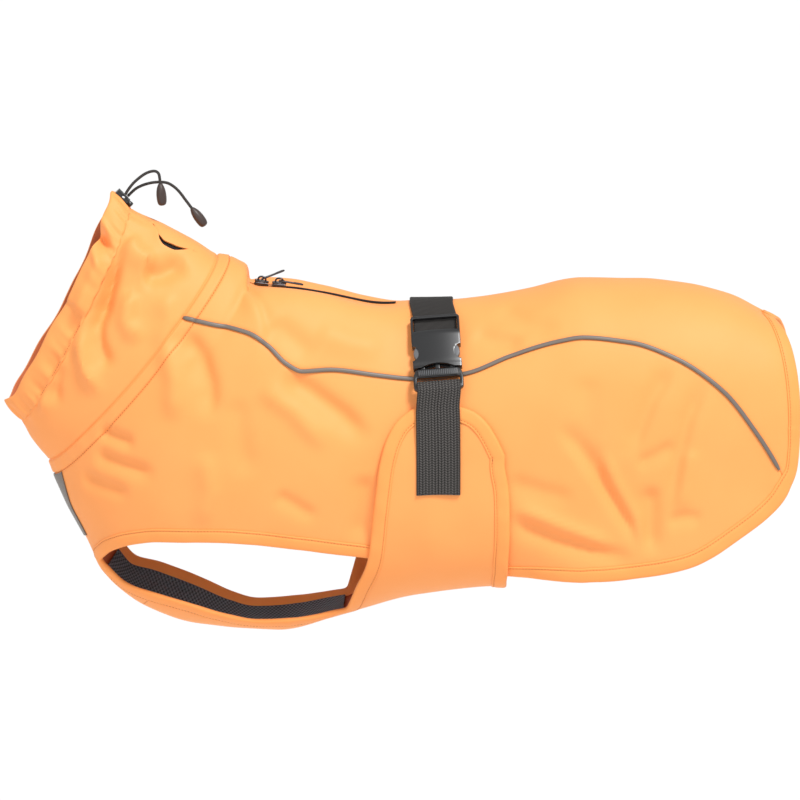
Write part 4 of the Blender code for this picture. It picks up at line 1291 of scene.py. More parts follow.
@dataclass
class BackYoke:
    """The back yoke with the slot for the zip, whose lips stand up a little."""

    step: float = 3.0
    rows: int = 30
    slot_half_width: float = 2.5
    slot_end_half_width: float = 0.9
    lip: float = 0.4

    def slot_angle(self, station: float) -> float:
        """The angle of the slot's edge at a station."""
        share = (station - ZIP_FRONT) / (ZIP_REAR - ZIP_FRONT)
        half = self.slot_half_width + (self.slot_end_half_width - self.slot_half_width) * np.clip(share, 0, 1)
        row = {name: float(SECTION_CURVES[name](station)) for name in ("half_width", "top_power")}
        return math.degrees(math.asin((half / row["half_width"]) ** (row["top_power"] / 2)))

    def build(self, rack: Rack) -> Object:
        """Make the yoke."""
        stations = columns(NECK_SEAM, TAIL, self.step, 20.0, (*NECK_MARKS, ZIP_FRONT, ZIP_REAR))
        edges = np.minimum(piping_angle(stations), lower_angle(stations))
        angles, lifts = [], []
        for station, edge in zip(stations, edges):
            slot = self.slot_angle(station)
            half = row_angles(station, edge, slot, self.rows, (0.8, 1.7, 3.0), (0.7, 1.5, 2.8, 4.6))
            along = run_of(FORM.bare(station, half))
            in_slot = soft_step((station - ZIP_FRONT) / 0.3 + 1) * soft_step((ZIP_REAR - station) / 0.3 + 1)
            lift = seam_tuck(along) * (station < PIPING_END)
            lift = lift + self.lip * in_slot * bell(along[-1] - along, 2.4)
            angles.append(np.concatenate((-half, half[::-1])))
            lifts.append(np.concatenate((lift, lift[::-1])))
        angle, middle = np.array(angles), len(angles[0]) // 2 - 1
        open_cells = np.zeros(np.subtract(angle.shape, 1), bool)
        open_cells[(stations[:-1] >= ZIP_FRONT) & (stations[:-1] < ZIP_REAR), middle] = True
        block = wall(stations[:, None], angle, np.array(lifts))
        return dress_cloth(rack, "yoke_cloth", "back_yoke", block._replace(open_cells=open_cells))


@dataclass
class SidePanel:
    """A side panel: shoulder, half chest and flank, with the leg opening between them."""

    flank: Flank
    step: float = 3.1
    upper_rows: int = 52
    opening_rows: int = 16
    chest_rows: int = 24
    front_gap: float = 0.4

    def build(self, rack: Rack) -> Object:
        """Make the panel."""
        side = self.flank.value
        stations = columns(NECK_SEAM, 19.85, self.step, 100.0, (*NECK_MARKS, OPENING_TIP, BIB_SEAM))
        top, low = piping_angle(stations), lower_angle(stations)
        bib = bib_angle(stations, self.flank)
        share = (stations - NECK_SEAM) / (OPENING_TIP - NECK_SEAM)
        tip_low, tip_bib = lower_angle(OPENING_TIP), bib_angle(OPENING_TIP, self.flank)
        before = stations <= OPENING_TIP
        edge = np.where(before, NECK_EDGE_ANGLE + (tip_low - NECK_EDGE_ANGLE) * share, low)
        lip = np.where(before, NECK_BIB_ANGLE + (tip_bib - NECK_BIB_ANGLE) * share, bib)
        angles, lifts = [], []
        for s, a, b, c in zip(stations, top, edge, lip):
            upper = row_angles(s, a, b, self.upper_rows, (0.8, 1.7, 3.0))
            c = c if s <= BIB_SEAM else 179.0
            between = np.linspace(b, c, self.opening_rows + 1)[1:]
            lower = even_angles(s, c, 180.0, self.chest_rows)[1:]
            tuck = seam_tuck(run_of(FORM.bare(s, upper)))
            angles.append(np.concatenate((upper, between, lower)))
            lifts.append(np.concatenate((tuck, np.zeros(len(between) + len(lower)))))
        angle = np.array(angles) * side
        open_cells = np.zeros(np.subtract(angle.shape, 1), bool)
        first, last = len(upper) - 1, len(upper) - 1 + self.opening_rows
        open_cells[stations[:-1] >= OPENING_TIP, first:last] = True
        open_cells[stations[:-1] >= BIB_SEAM, last:] = True
        block = wall(stations[:, None], angle, np.array(lifts))
        block.outer[:, -1, 1] = block.inner[:, -1, 1] = self.front_gap / 2 * side
        if self.flank is Flank.LEFT:
            block = Block(block.outer[:, ::-1], block.inner[:, ::-1])
            open_cells = open_cells[:, ::-1]
        word = self.flank.word
        return dress_cloth(rack, "side_cloth_" + word, "side_" + word, block._replace(open_cells=open_cells))


@dataclass
class Collar:
    """The collar tube, with the short slit beside its centre back."""

    step: float = 2.4
    rows: int = 160
    slit_middle: Smooth = field(default_factory=lambda: Smooth([
        (1.0, -20), (1.55, -9), (1.7, -12), (1.82, -19), (1.93, -24), (2.11, -27), (2.4, -26), (2.62, -23),
        (2.86, -19), (3.2, -18), (4.0, -20),
    ]))
    slit_half_gap: Smooth = field(default_factory=lambda: Smooth([
        (1.0, 0.15), (1.66, 0.15), (1.72, 2.0), (1.79, 0.2), (1.86, 0.2), (1.94, 2.2), (2.1, 2.5),
        (2.35, 2.9), (2.6, 1.9), (2.88, 0.2), (4.0, 0.15),
    ]))

    def build(self, rack: Rack) -> Object:
        """Make the collar."""
        marks = (1.03, 1.06, 1.1, 1.15, 1.66, 1.72, 1.79, 1.86, 1.94, 2.88, 3.9, 3.94, 3.97)
        stations = columns(CASING_SEAM, NECK_SEAM, self.step, -60.0, marks)
        left_rows = self.rows // 2 - 8
        angles = []
        for station in stations:
            middle, gap = float(self.slit_middle(station)), float(self.slit_half_gap(station))
            left = np.linspace(-180, middle - gap, left_rows)
            right = np.linspace(middle + gap, 180, self.rows - left_rows)
            angles.append(np.concatenate((left, right)))
        angle, station = np.array(angles), stations[:, None]
        open_cells = np.zeros(np.subtract(angle.shape, 1), bool)
        gaps = self.slit_half_gap((stations[:-1] + stations[1:]) / 2)
        open_cells[gaps > 0.5, left_rows - 1] = True
        off = (angle - self.slit_middle(station)) / 9
        by_slit = bell(off, 1.0) * soft_step((station - 1.5) / 0.4) * soft_step((3.1 - station) / 0.5)
        lift = by_slit * np.where(off < 0, 1.6, -0.6)
        pucker = bell(station - CASING_SEAM, 0.5) * soft_step((station - 1.0) / 0.1)
        lift = lift + pucker * 0.8 * np.sin(angle / 2.3 + 2 * np.sin(angle / 17))
        block = wall(station, angle, lift)
        return dress_cloth(rack, "collar_cloth", "collar", block._replace(open_cells=open_cells))

    def build_patch(self, rack: Rack) -> Object:
        """Make the lining that shows through the slit."""
        station, angle = np.meshgrid(np.linspace(1.4, 3.5, 26), np.linspace(-52, 10.4, 34), indexing="ij")
        obj = closed_sheet("collar_lining", [wall(station, angle, -CLOTH - 1.5, 1.0)])
        return dress(obj, rack.lining_patch, "lining_mesh", "lining_collar")


@dataclass
class CordCasing:
    """The turned mouth of the collar, which the drawcord runs in and puckers."""

    rows: int = 300
    stations: int = 17
    puff: float = 2.3
    notch_angle: float = -50.0
    fold_angle: float = -87.0

    def build(self, rack: Rack) -> Object:
        """Make the casing: its outer face puffs out and its inner face in."""
        t, angle = np.linspace(0, 1, self.stations)[:, None], np.linspace(-180, 180, self.rows)
        ragged = 0.5 + 0.5 * np.sin(angle / 1.35 + 2 * np.sin(angle / 9))
        notch = bell(angle - self.notch_angle, 4.6)
        mouth = 0.05 * np.sin(angle / 13 + 0.8) + 0.03 * np.sin(angle / 5.1) + 0.1 * notch
        station = mouth * (1 - t) + t * (1.0 + 0.035 * ragged)
        crown = np.sin(math.pi * t).clip(0) ** 0.7
        pucker = np.sin(angle / 2.1 + 2.4 * np.sin(angle / 15)) * (0.35 + 0.65 * t)
        pucker = pucker + 0.9 * np.sin(angle / 0.95 + 1.9 * np.sin(angle / 8)) * t ** 2
        band = soft_step((angle - self.fold_angle) / 1.6) * soft_step((self.notch_angle - 5 - angle) / 6)
        lower = soft_step((self.fold_angle - angle) / 2.0) * soft_step((angle + 172) / 60)
        lift = self.puff * crown + 0.7 * pucker * (0.25 + crown) + 0.5 * t ** 4
        lift = lift + band * (3.4 * bell(t - 0.6, 0.3) + 0.8)
        sunk = 2.6 + 3.4 * bell(t - 0.7, 0.3) * (0.7 + 0.3 * np.sin(angle / 3.2))
        lift = lift - lower * sunk * soft_step((1 - t) / 0.2)
        lift = lift - notch * (11.0 * bell(t - 0.25, 0.4) + 1.2) * soft_step((1 - t) / 0.15)
        lift = lift + 3.6 * bell(angle - self.notch_angle + 9 + 5 * t, 3.0) * bell(t - 0.35, 0.45)
        lift = lift + 3.2 * bell(angle - self.notch_angle - 8 + 4 * t, 3.2) * bell(t - 0.4, 0.45)
        faces = [FORM.at(station, angle, face, creased=False) for face in (lift, lift - (1.7 + 3.4 * crown))]
        return dress_cloth(rack, "casing_cloth", "cord_casing", Block(*faces), sharp=70)


def belly_lift(station: Array) -> Array:
    """How far the belly piece stands off the form: nought at the bib seam, full under the wings."""
    return WING_LIFT * soft_step((station - BIB_SEAM) / (BIB_END - BIB_SEAM))


class WingOutline:
    """The front and rear lines of the wings and of the belly between them."""

    def __init__(self) -> None:
        """Fit the lines through the wing's rows and on to the belly's middle."""
        front_s, front_a = FORM.spot(*np.array(WING_FRONT, float).T)
        rear_s, rear_a = FORM.spot(*np.array(WING_REAR, float).T)
        bib_edge, rear_edge = float(bib_angle(BIB_END)), -float(rear_a[-1])
        shares = np.array([0.0, 1 / 3, 2 / 3, 1.0])
        low_a = -(bib_edge + (180 - bib_edge) * shares)
        low_rear = -(rear_edge + (180 - rear_edge) * (shares + 0.4) / 1.4)
        low_s = FORM.station_at(np.full(4, WING_REAR_X), np.abs(low_rear))
        self.knots = len(front_s) + len(shares)
        lines = ((front_s, np.full(4, BIB_END)), (front_a, low_a), (rear_s, low_s), (rear_a, low_rear))
        curves = [Smooth(list(enumerate(np.concatenate(line)))) for line in lines]
        self.front, self.rear = curves[:2], curves[2:]

    def places(self, index: Array, share: Array) -> tuple[Array, Array]:
        """Stations and angles on the left wing.

        Args:
            index: the place between the rows, 0 at the wing's top.
            share: how far from the front to the rear.

        Returns:
            The stations and the angles.
        """
        (s1, a1), (s2, a2) = ((line(index) for line in pair) for pair in (self.front, self.rear))
        return s1 + (s2 - s1) * share, a1 + (a2 - a1) * share


@dataclass
class BellyPiece:
    """The bib and the two wings, cut in one, and the mesh lining inside the bib."""

    outline: WingOutline
    wing_rows: int = 84
    wing_columns: int = 46
    bib_rows: int = 26
    bib_columns: int = 60
    lining_inset: float = 11.3
    ribs: int = 25
    rib_height: float = 1.3

    def wing_block(self, flank: Flank) -> Block:
        """One wing and half the belly."""
        index, share = np.meshgrid(np.linspace(self.outline.knots - 1, 0, self.wing_rows),
                                   np.linspace(0, 1, self.wing_columns), indexing="xy")
        station, angle = self.outline.places(index, share)
        folds = 0.9 * bell(share - 0.35 - 0.02 * index, 0.1) - 0.8 * bell(share - 0.7, 0.12)
        lift = WING_LIFT + folds * soft_step(index / 3) * soft_step((11 - index) / 4)
        return self.turned(wall(station, angle, lift), flank)

    def bib_block(self, flank: Flank) -> Block:
        """Half the bib."""
        stations = np.linspace(BIB_SEAM + 0.01, BIB_END, self.bib_columns)
        angles = [even_angles(s, -180.0, -float(bib_angle(s, flank)), self.bib_rows) for s in stations]
        station = stations[:, None]
        return self.turned(wall(station, np.array(angles), belly_lift(station)), flank)

    def turned(self, block: Block, flank: Flank) -> Block:
        """A left block as it is, or mirrored to the right."""
        if flank is Flank.LEFT:
            return block
        return Block(*(grid[:, ::-1] * (1, -1, 1) for grid in (block.outer, block.inner)))

    def build(self, rack: Rack) -> Object:
        """Make the belly piece's cloth."""
        blocks = [self.bib_block(flank) for flank in Flank] + [self.wing_block(flank) for flank in Flank]
        return dress_cloth(rack, "belly_cloth", "belly_piece", *blocks)

    def build_lining(self, rack: Rack) -> Object:
        """Make the dark mesh lining of the bib, ribbed along its length."""
        blocks = []
        stations = np.linspace(9.05, BIB_END, 84)
        for flank in Flank:
            half = []
            for s in stations:
                edge = -float(bib_angle(s, flank))
                degree = float(np.linalg.norm(FORM.bare(s, edge) - FORM.bare(s, edge - 1.0)))
                half.append(row_angles(s, -180.0, edge - self.lining_inset / degree, 150))
            angle, station = np.array(half), stations[:, None]
            ribs = self.rib_height * np.abs(np.sin(np.linspace(0, self.ribs * math.pi, angle.shape[1])))
            lift = belly_lift(station) - CLOTH - 1.0 - ribs
            blocks.append(self.turned(wall(station, angle, lift, 0.8), flank))
        obj = closed_sheet("belly_lining", blocks, sharp=80)
        return dress(obj, rack.lining, "lining_mesh", "lining_belly")


# Bindings, piping and the chest strip

# A folded tape's cross-section round the cloth's edge: how far it is from the edge and off the cloth.
BINDING_SECTION = [
    (12.7, 0.12), (12.75, 0.6), (12.3, 1.0), (11.5, 1.05), (10.7, 0.55), (9.9, 1.1), (8.2, 1.45),
    (6, 1.6), (3.6, 1.65), (1.5, 1.55), (0.2, 1.25), (-0.7, 0.5), (-1.05, -0.8), (-0.7, -2.1),
    (0.2, -2.8), (1.6, -3.05), (5, -3.0), (9, -2.8), (10.7, -2.3), (12.3, -2.6), (12.5, -2.1),
    (12.2, -1.75), (9, -1.75), (5, -1.75), (1.5, -1.75), (0.4, -1.6), (0.1, -0.8), (0.4, 0.05),
    (1.5, 0.12), (5, 0.12), (9, 0.12),
]


@dataclass
class Binding:
    """A folded tape round an edge, and its line of stitches."""

    name: str
    node: str
    edge: Track
    ripple: float = 0.16
    stitch_insets: tuple = (10.7,)

    def build(self, rack: Rack) -> Object:
        """Make the tape."""
        along = np.arange(len(self.edge.station)) * TRACK_STEP
        rows = []
        wave = np.sin(along / 5.3 + np.sin(along / 23)) * np.sin(along / 14 + 1.1)
        for inset, height in BINDING_SECTION:
            line = self.edge.inset(max(inset, 0.0))
            swell = 1 + self.ripple * wave * (1 if height > 0.2 else 0.3)
            points = FORM.at(line.station, line.angle, line.lift + height * swell)
            if inset < 0:
                points = points + self.edge.ways()[2] * inset
            rows.append(points)
        obj = swept(self.name, np.stack(rows, 1), sharp=75)
        return dress(obj, rack.binding_tape, "shell_cloth", self.node)

    def stitches(self) -> list[Array]:
        """The lines of its stitches."""
        return [self.edge.inset(inset).points(0.84) for inset in self.stitch_insets]


def track(stations: Sequence, angles: Sequence, lifts: object, turn: int, easing: int = 16) -> Track:
    """A line of places, evened and with soft corners."""
    station, angle = np.asarray(stations, float), np.asarray(angles, float)
    lift = np.broadcast_to(np.asarray(lifts, float), station.shape)
    return Track(station, angle, lift, turn).evened(TRACK_STEP).eased(easing).evened(TRACK_STEP)


def leg_track(flank: Flank) -> Track:
    """The edge of a leg opening, from the bib seam forward and back along the body's edge."""
    side = flank.value
    under, over = np.linspace(10.03, OPENING_TIP, 20), np.linspace(OPENING_TIP, 13.2, 76)
    low, high = bib_angle(under, flank), lower_angle(over)
    front = np.linspace(low[-1], high[0], 20)[1:-1]
    station = np.concatenate((under, np.full(len(front), OPENING_TIP), over))
    return track(station, np.concatenate((low, front, high)) * side, 0.0, -side, 14)


def hem_track(flank: Flank) -> Track:
    """The hem, from under the wing to the tail's centre."""
    side = flank.value
    along = np.linspace(13.17, TAIL, 112)
    low = lower_angle(along)
    tail = np.linspace(low[-1], 0.4, 30)[1:]
    station = np.concatenate((along, np.full(len(tail), TAIL)))
    return track(station, np.concatenate((low, tail)) * side, 0.0, -side, 30)


def wing_track(flank: Flank, outline: WingOutline) -> Track:
    """The edge round a wing, from the bib's front up the wing and down its rear to the belly."""
    under = np.linspace(BIB_SEAM - 0.02, BIB_END, 50)
    front = outline.places(np.linspace(outline.knots - 5, 0, 80), np.zeros(80))
    top = outline.places(np.zeros(18), np.linspace(0, 1, 20)[1:-1])
    rear = outline.places(np.linspace(0, outline.knots - 1.04, 110), np.ones(110))
    station = np.concatenate((under, front[0], top[0], rear[0]))
    angle = np.concatenate((-bib_angle(under, flank), front[1], top[1], rear[1]))
    lift = belly_lift(np.concatenate((under, np.full(len(station) - len(under), BIB_END))))
    return track(station, angle * -flank.value, lift, flank.value, 10)


@dataclass
class Piping:
    """The grey piping in a yoke seam, flattened, with its end on the neck band."""

    flank: Flank
    half_width: float = 1.95
    height: float = 1.35
    first: float = 4.02
    last: float = 19.62

    def build(self, rack: Rack) -> Object:
        """Make the piping."""
        stations = columns(self.first, self.last, 2.2, 60.0, (4.97, 5.0, 5.03))
        line = Track(stations, piping_angle(stations) * self.flank.value, np.zeros(len(stations)))
        _, out, across = line.ways()
        middle = line.points(1.05)
        ends = np.minimum(np.arange(len(stations)), np.arange(len(stations))[::-1])
        size = np.where(ends == 0, 0.55, np.where(ends == 1, 0.9, 1.0))[:, None]
        stitch = 0.3 * bell(stations - NECK_TOPSTITCH, 0.05)[:, None]
        rows = []
        for turn in np.linspace(0, 2 * math.pi, 16, endpoint=False):
            wide = np.sign(math.cos(turn)) * abs(math.cos(turn)) ** 0.8 * self.half_width
            high = math.sin(turn) * self.height
            rows.append(middle + across * wide * size + out * high * (size - stitch))
        obj = swept("piping_cloth_" + self.flank.word, np.stack(rows, 1))
        return dress(obj, rack.reflective, "reflective_tape", "piping_" + self.flank.word)


@dataclass
class ChestStrip:
    """The plain grey strip down the centre front."""

    first: float = 5.04
    last: float = 7.96

    def build(self, rack: Rack) -> Object:
        """Make the strip."""
        stations = np.linspace(self.first, self.last, 40)
        share = (stations - NECK_SEAM) / (OPENING_TIP - NECK_SEAM)
        angles = []
        for flank in (Flank.RIGHT, Flank.LEFT):
            bib = NECK_BIB_ANGLE + (float(bib_angle(OPENING_TIP, flank)) - NECK_BIB_ANGLE) * share
            edge = bib + (180 - bib) / 3
            rows = [even_angles(s, -180.0, -float(e), 12) for s, e in zip(stations, edge)]
            angles.append(np.array(rows) if flank is Flank.LEFT else -360 - np.array(rows)[:, ::-1])
        angle = np.concatenate((angles[0][:, :-1], angles[1]), 1)
        obj = closed_sheet("chest_tape", [wall(stations[:, None], angle, 1.3, 1.0)])
        return dress(obj, rack.reflective, "reflective_tape", "chest_strip")


# Webbing and buckle

STRAP_X = -0.5
BUCKLE_X = 4.5
STRAP_OFFSETS = (-20.0, 0.0, 20.0)
# How the straps' outer faces stand off the form, as (angle, lift) rows.
STRAP_OVER_ROWS = [
    (-9, 3.2), (0, 2.8), (9, 2.7), (18, 2.7), (27, 3.0), (36, 4.4), (45, 6.8), (53, 8.6), (60, 9.5),
    (68, 9.7), (76, 9.0), (86, 7.6), (96, 7.4),
]
STRAP_LOWER_ROWS = [(-96.6, 7.1), (-90, 7.1), (-83, 7.2), (-76, 8.2), (-71, 9.2), (-67, 10.2)]
# The lower strap's turn round the plug's bar, as (y, z) in the buckle's axes.
STRAP_BAR_ROWS = [(-5.0, 9.6), (-1.6, 10.6), (1.6, 11.2), (4.0, 10.6), (5.6, 8.9), (6.4, 6.6)]


def axes_at(place: Vector, *ways: Vector) -> Matrix:
    """Axes with the X, Y and Z ways that are given, at a place."""
    axes = Matrix(ways).transposed().to_4x4()
    axes.translation = place
    return axes


def back_axes(place: Vector, front: Vector, rear: Vector) -> Matrix:
    """Axes on the centre back: X to the tail, Y to the right, Z off the back."""
    along, across = (rear - front).normalized(), Vector((0, 1, 0))
    return axes_at(place, along, across, along.cross(across))


def buckle_axes() -> Matrix:
    """The buckle's own axes: X across, Y up the strap from its lower end, Z off the body."""
    top_angle, foot_angle, length, off_form, half = -22.0, -60.0, 74.0, 5.2, 25.0
    top, foot = FORM.point(BUCKLE_X - 2, top_angle), FORM.point(BUCKLE_X + 2, foot_angle)
    up = (top - foot).normalized()
    middle = (top_angle + foot_angle) / 2
    across = FORM.point(BUCKLE_X + half, middle) - FORM.point(BUCKLE_X - half, middle)
    out = across.cross(up).normalized()
    return axes_at((top + foot - up * length) / 2 + out * off_form, up.cross(out), up, out)


class WebbingWeave(Enum):
    """The two weaves of the coat's webbing."""

    FINE_TWILL = "fine twill"
    ZIG_ZAG = "zig-zag"


@dataclass
class Webbing:
    """A strap of woven webbing along a line of rows, with real yarns on its outer face."""

    name: str
    node: str
    weave: WebbingWeave
    half_width: float = 20.0
    yarn_columns: int = 14
    yarn_height: float = 0.55
    along_step: float = 0.62
    across_count: int = 72

    def yarns(self, u: Array, v: Array) -> Array:
        """How high the yarns stand at places across (u, 0 to 1) and along (v, in millimetres)."""
        if self.weave is WebbingWeave.ZIG_ZAG:
            column = u * self.yarn_columns
            part = column - np.floor(column)
            lean = np.where(np.floor(column) % 2 > 0, part, 1 - part)
            dash = np.sin(math.pi * (v / 2.35 + lean * 0.85))
            return np.sqrt(np.abs(dash)) * (0.35 + 0.65 * np.sin(math.pi * part) ** 0.6)
        column = u * self.yarn_columns * 2.2
        return 0.5 + 0.5 * np.sin(2 * math.pi * (v / 1.9 + column * 0.55)) * np.sin(math.pi * column) ** 2

    def build(self, rack: Rack, rows: Array) -> Object:
        """Make the strap.

        Args:
            rack: the materials.
            rows: the outer face's points at the two edges and the middle of each row, (rows, 3, 3).

        Returns:
            The strap.
        """
        lines = [smooth_line(rows[:, i], 1.2) for i in range(3)]
        count = round(float(run_of(lines[1])[-1]) / self.along_step)
        u = np.linspace(0, 1, self.across_count + 1)
        outer = np.zeros((count + 1, len(u), 3))
        for line, share in zip(lines, ((1 - u) * (1 - 2 * u), 4 * u * (1 - u), u * (2 * u - 1))):
            along = run_of(line)
            marks = np.linspace(0, along[-1], count + 1)
            even = np.stack([np.interp(marks, along, line[:, i]) for i in range(3)], 1)
            outer += even[:, None] * share[:, None]
        out = unit(np.cross(np.gradient(outer, axis=1), np.gradient(outer, axis=0)))
        v = np.arange(count + 1) * self.along_step
        yarn = self.yarns(u[None], v[:, None])
        edge = np.minimum(u, 1 - u) * 2 * self.half_width
        selvedge = bell(edge - 0.7, 0.7)
        yarn = np.where(edge < 1.6, 0.55 + 0.35 * np.sin(v[:, None] * 3.1) * selvedge, yarn)
        outer = outer + out * (self.yarn_height * (yarn - 0.5) - 0.8 * bell(edge, 0.6))[..., None]
        inner = outer - out * (WEBBING - 0.7 * bell(edge, 0.6))[..., None]
        corner, along, across = outer[:-1, :-1], outer[1:, :-1], outer[:-1, 1:]
        if (np.cross(along - corner, across - corner) * out[:-1, :-1]).sum() <= 0:
            outer, inner, yarn = outer[:, ::-1], inner[:, ::-1], yarn[:, ::-1]
        obj = closed_sheet(self.name, [Block(outer, inner)], sharp=80)
        height = np.clip(yarn, 0, 1).ravel()
        places = np.round(outer.reshape(-1, 3) * WELD_PARTS).astype(int)
        keys = {tuple(place): high for place, high in zip(places, height)}
        spots = np.empty(len(obj.data.vertices) * 3)
        obj.data.vertices.foreach_get("co", spots)
        spots = np.round(spots.reshape(-1, 3) / MM * WELD_PARTS).astype(int)
        # The yarns' heights, which the webbing material also uses to paint highlights on their tops.
        layer = obj.data.attributes.new("yarn", "FLOAT", "POINT")
        half = len(spots) // 2
        found = np.array([keys.get(tuple(k), 0.5) for k in spots[:half]])
        layer.data.foreach_set("value", np.concatenate((found, found)))
        return dress(obj, rack.webbing, "webbing", self.node)


class Straps:
    """The strap over the back and the lower strap, sewn on the left wing."""

    def __init__(self) -> None:
        """Set out the buckle's axes."""
        self.axes = buckle_axes()

    def on_buckle(self, y: float, z: float) -> list:
        """The three points across a strap at a place on the buckle."""
        return moved(self.axes, [(x, y, z) for x in STRAP_OFFSETS]).tolist()

    def on_body(self, x: float, angle: float, lift: float) -> list:
        """The three points across a strap at an angle round the body."""
        across = x + np.array(STRAP_OFFSETS)
        return FORM.at(FORM.station_at(across, angle), angle, lift, creased=False).tolist()

    def build(self, rack: Rack) -> list[Object]:
        """Make both straps."""
        rows = [self.on_buckle(y, 2.2) for y in (57.9, 62.0, 66.0, 70.4)] + [self.on_buckle(76.0, 3.4)]
        rows += [self.on_body(STRAP_X, *row) for row in STRAP_OVER_ROWS]
        over = Webbing("strap_over_webbing", "strap_over", WebbingWeave.FINE_TWILL, along_step=0.85,
                       across_count=62, yarn_height=0.35).build(rack, np.array(rows))
        rows = [self.on_body(BUCKLE_X + 1, *row) for row in STRAP_LOWER_ROWS]
        rows += [self.on_buckle(*place) for place in STRAP_BAR_ROWS]
        lower = Webbing("strap_lower_webbing", "strap_lower", WebbingWeave.ZIG_ZAG)
        return [over, lower.build(rack, np.array(rows))]


def carved(base: Object, cutters: Sequence[Object], edge: float) -> Object:
    """Cut solids out of a base, round its edges and make it a plain mesh."""
    for cutter in cutters:
        cut = base.modifiers.new("cut", "BOOLEAN")
        cut.object, cut.operation, cut.solver = cutter, "DIFFERENCE", "EXACT"
    rounded = base.modifiers.new("edges", "BEVEL")
    rounded.width, rounded.segments, rounded.limit_method = edge * MM, 2, "ANGLE"
    rounded.angle_limit, rounded.use_clamp_overlap = math.radians(40), True
    made = plain_mesh(base, 35.0)
    for cutter in cutters:
        bpy.data.meshes.remove(cutter.data)
    return made


def crowned_block(name: str, low: tuple, high: tuple, crown: Callable, axes: Matrix,
                  cuts: int = 24) -> Object:
    """A block whose top is moved up by a function of its place, in its own axes."""
    bm = bmesh.new()
    bmesh.ops.create_grid(bm, x_segments=cuts, y_segments=cuts, size=0.5)
    top = set(bm.verts)
    bmesh.ops.extrude_edge_only(bm, edges=[edge for edge in bm.edges if edge.is_boundary])
    bmesh.ops.contextual_create(bm, geom=[edge for edge in bm.edges if edge.is_boundary])
    size = [b - a for a, b in zip(low, high)]
    middle = [(a + b) / 2 for a, b in zip(low, high)]
    for vert in bm.verts:
        x, y = vert.co.x * size[0] + middle[0], vert.co.y * size[1] + middle[1]
        vert.co = (x, y, high[2] + crown(x, y) if vert in top else low[2])
    bmesh.ops.recalc_face_normals(bm, faces=bm.faces)
    return baked(name, bm, axes)


def drum(name: str, centre: tuple, radius: float, depth: float, axes: Matrix, upright: bool = True,
         segments: int = 48) -> Object:
    """A cylinder in some axes, along Z, or else across it along Y."""
    bm = bmesh.new()
    bmesh.ops.create_cone(bm, cap_ends=True, segments=segments, radius1=radius, radius2=radius, depth=depth)
    turn = Matrix.Rotation(0.0 if upright else math.pi / 2, 4, "X")
    bmesh.ops.transform(bm, verts=bm.verts, matrix=Matrix.Translation(centre) @ turn)
    return baked(name, bm, axes)


# A prong's bulging side, where it is pressed.
PRONG_LENS = [
    (16.2, 27.2), (18.4, 28.4), (20.4, 30.8), (21.2, 34.4), (20.5, 38.2), (18.6, 41.0), (16.4, 42.4),
]


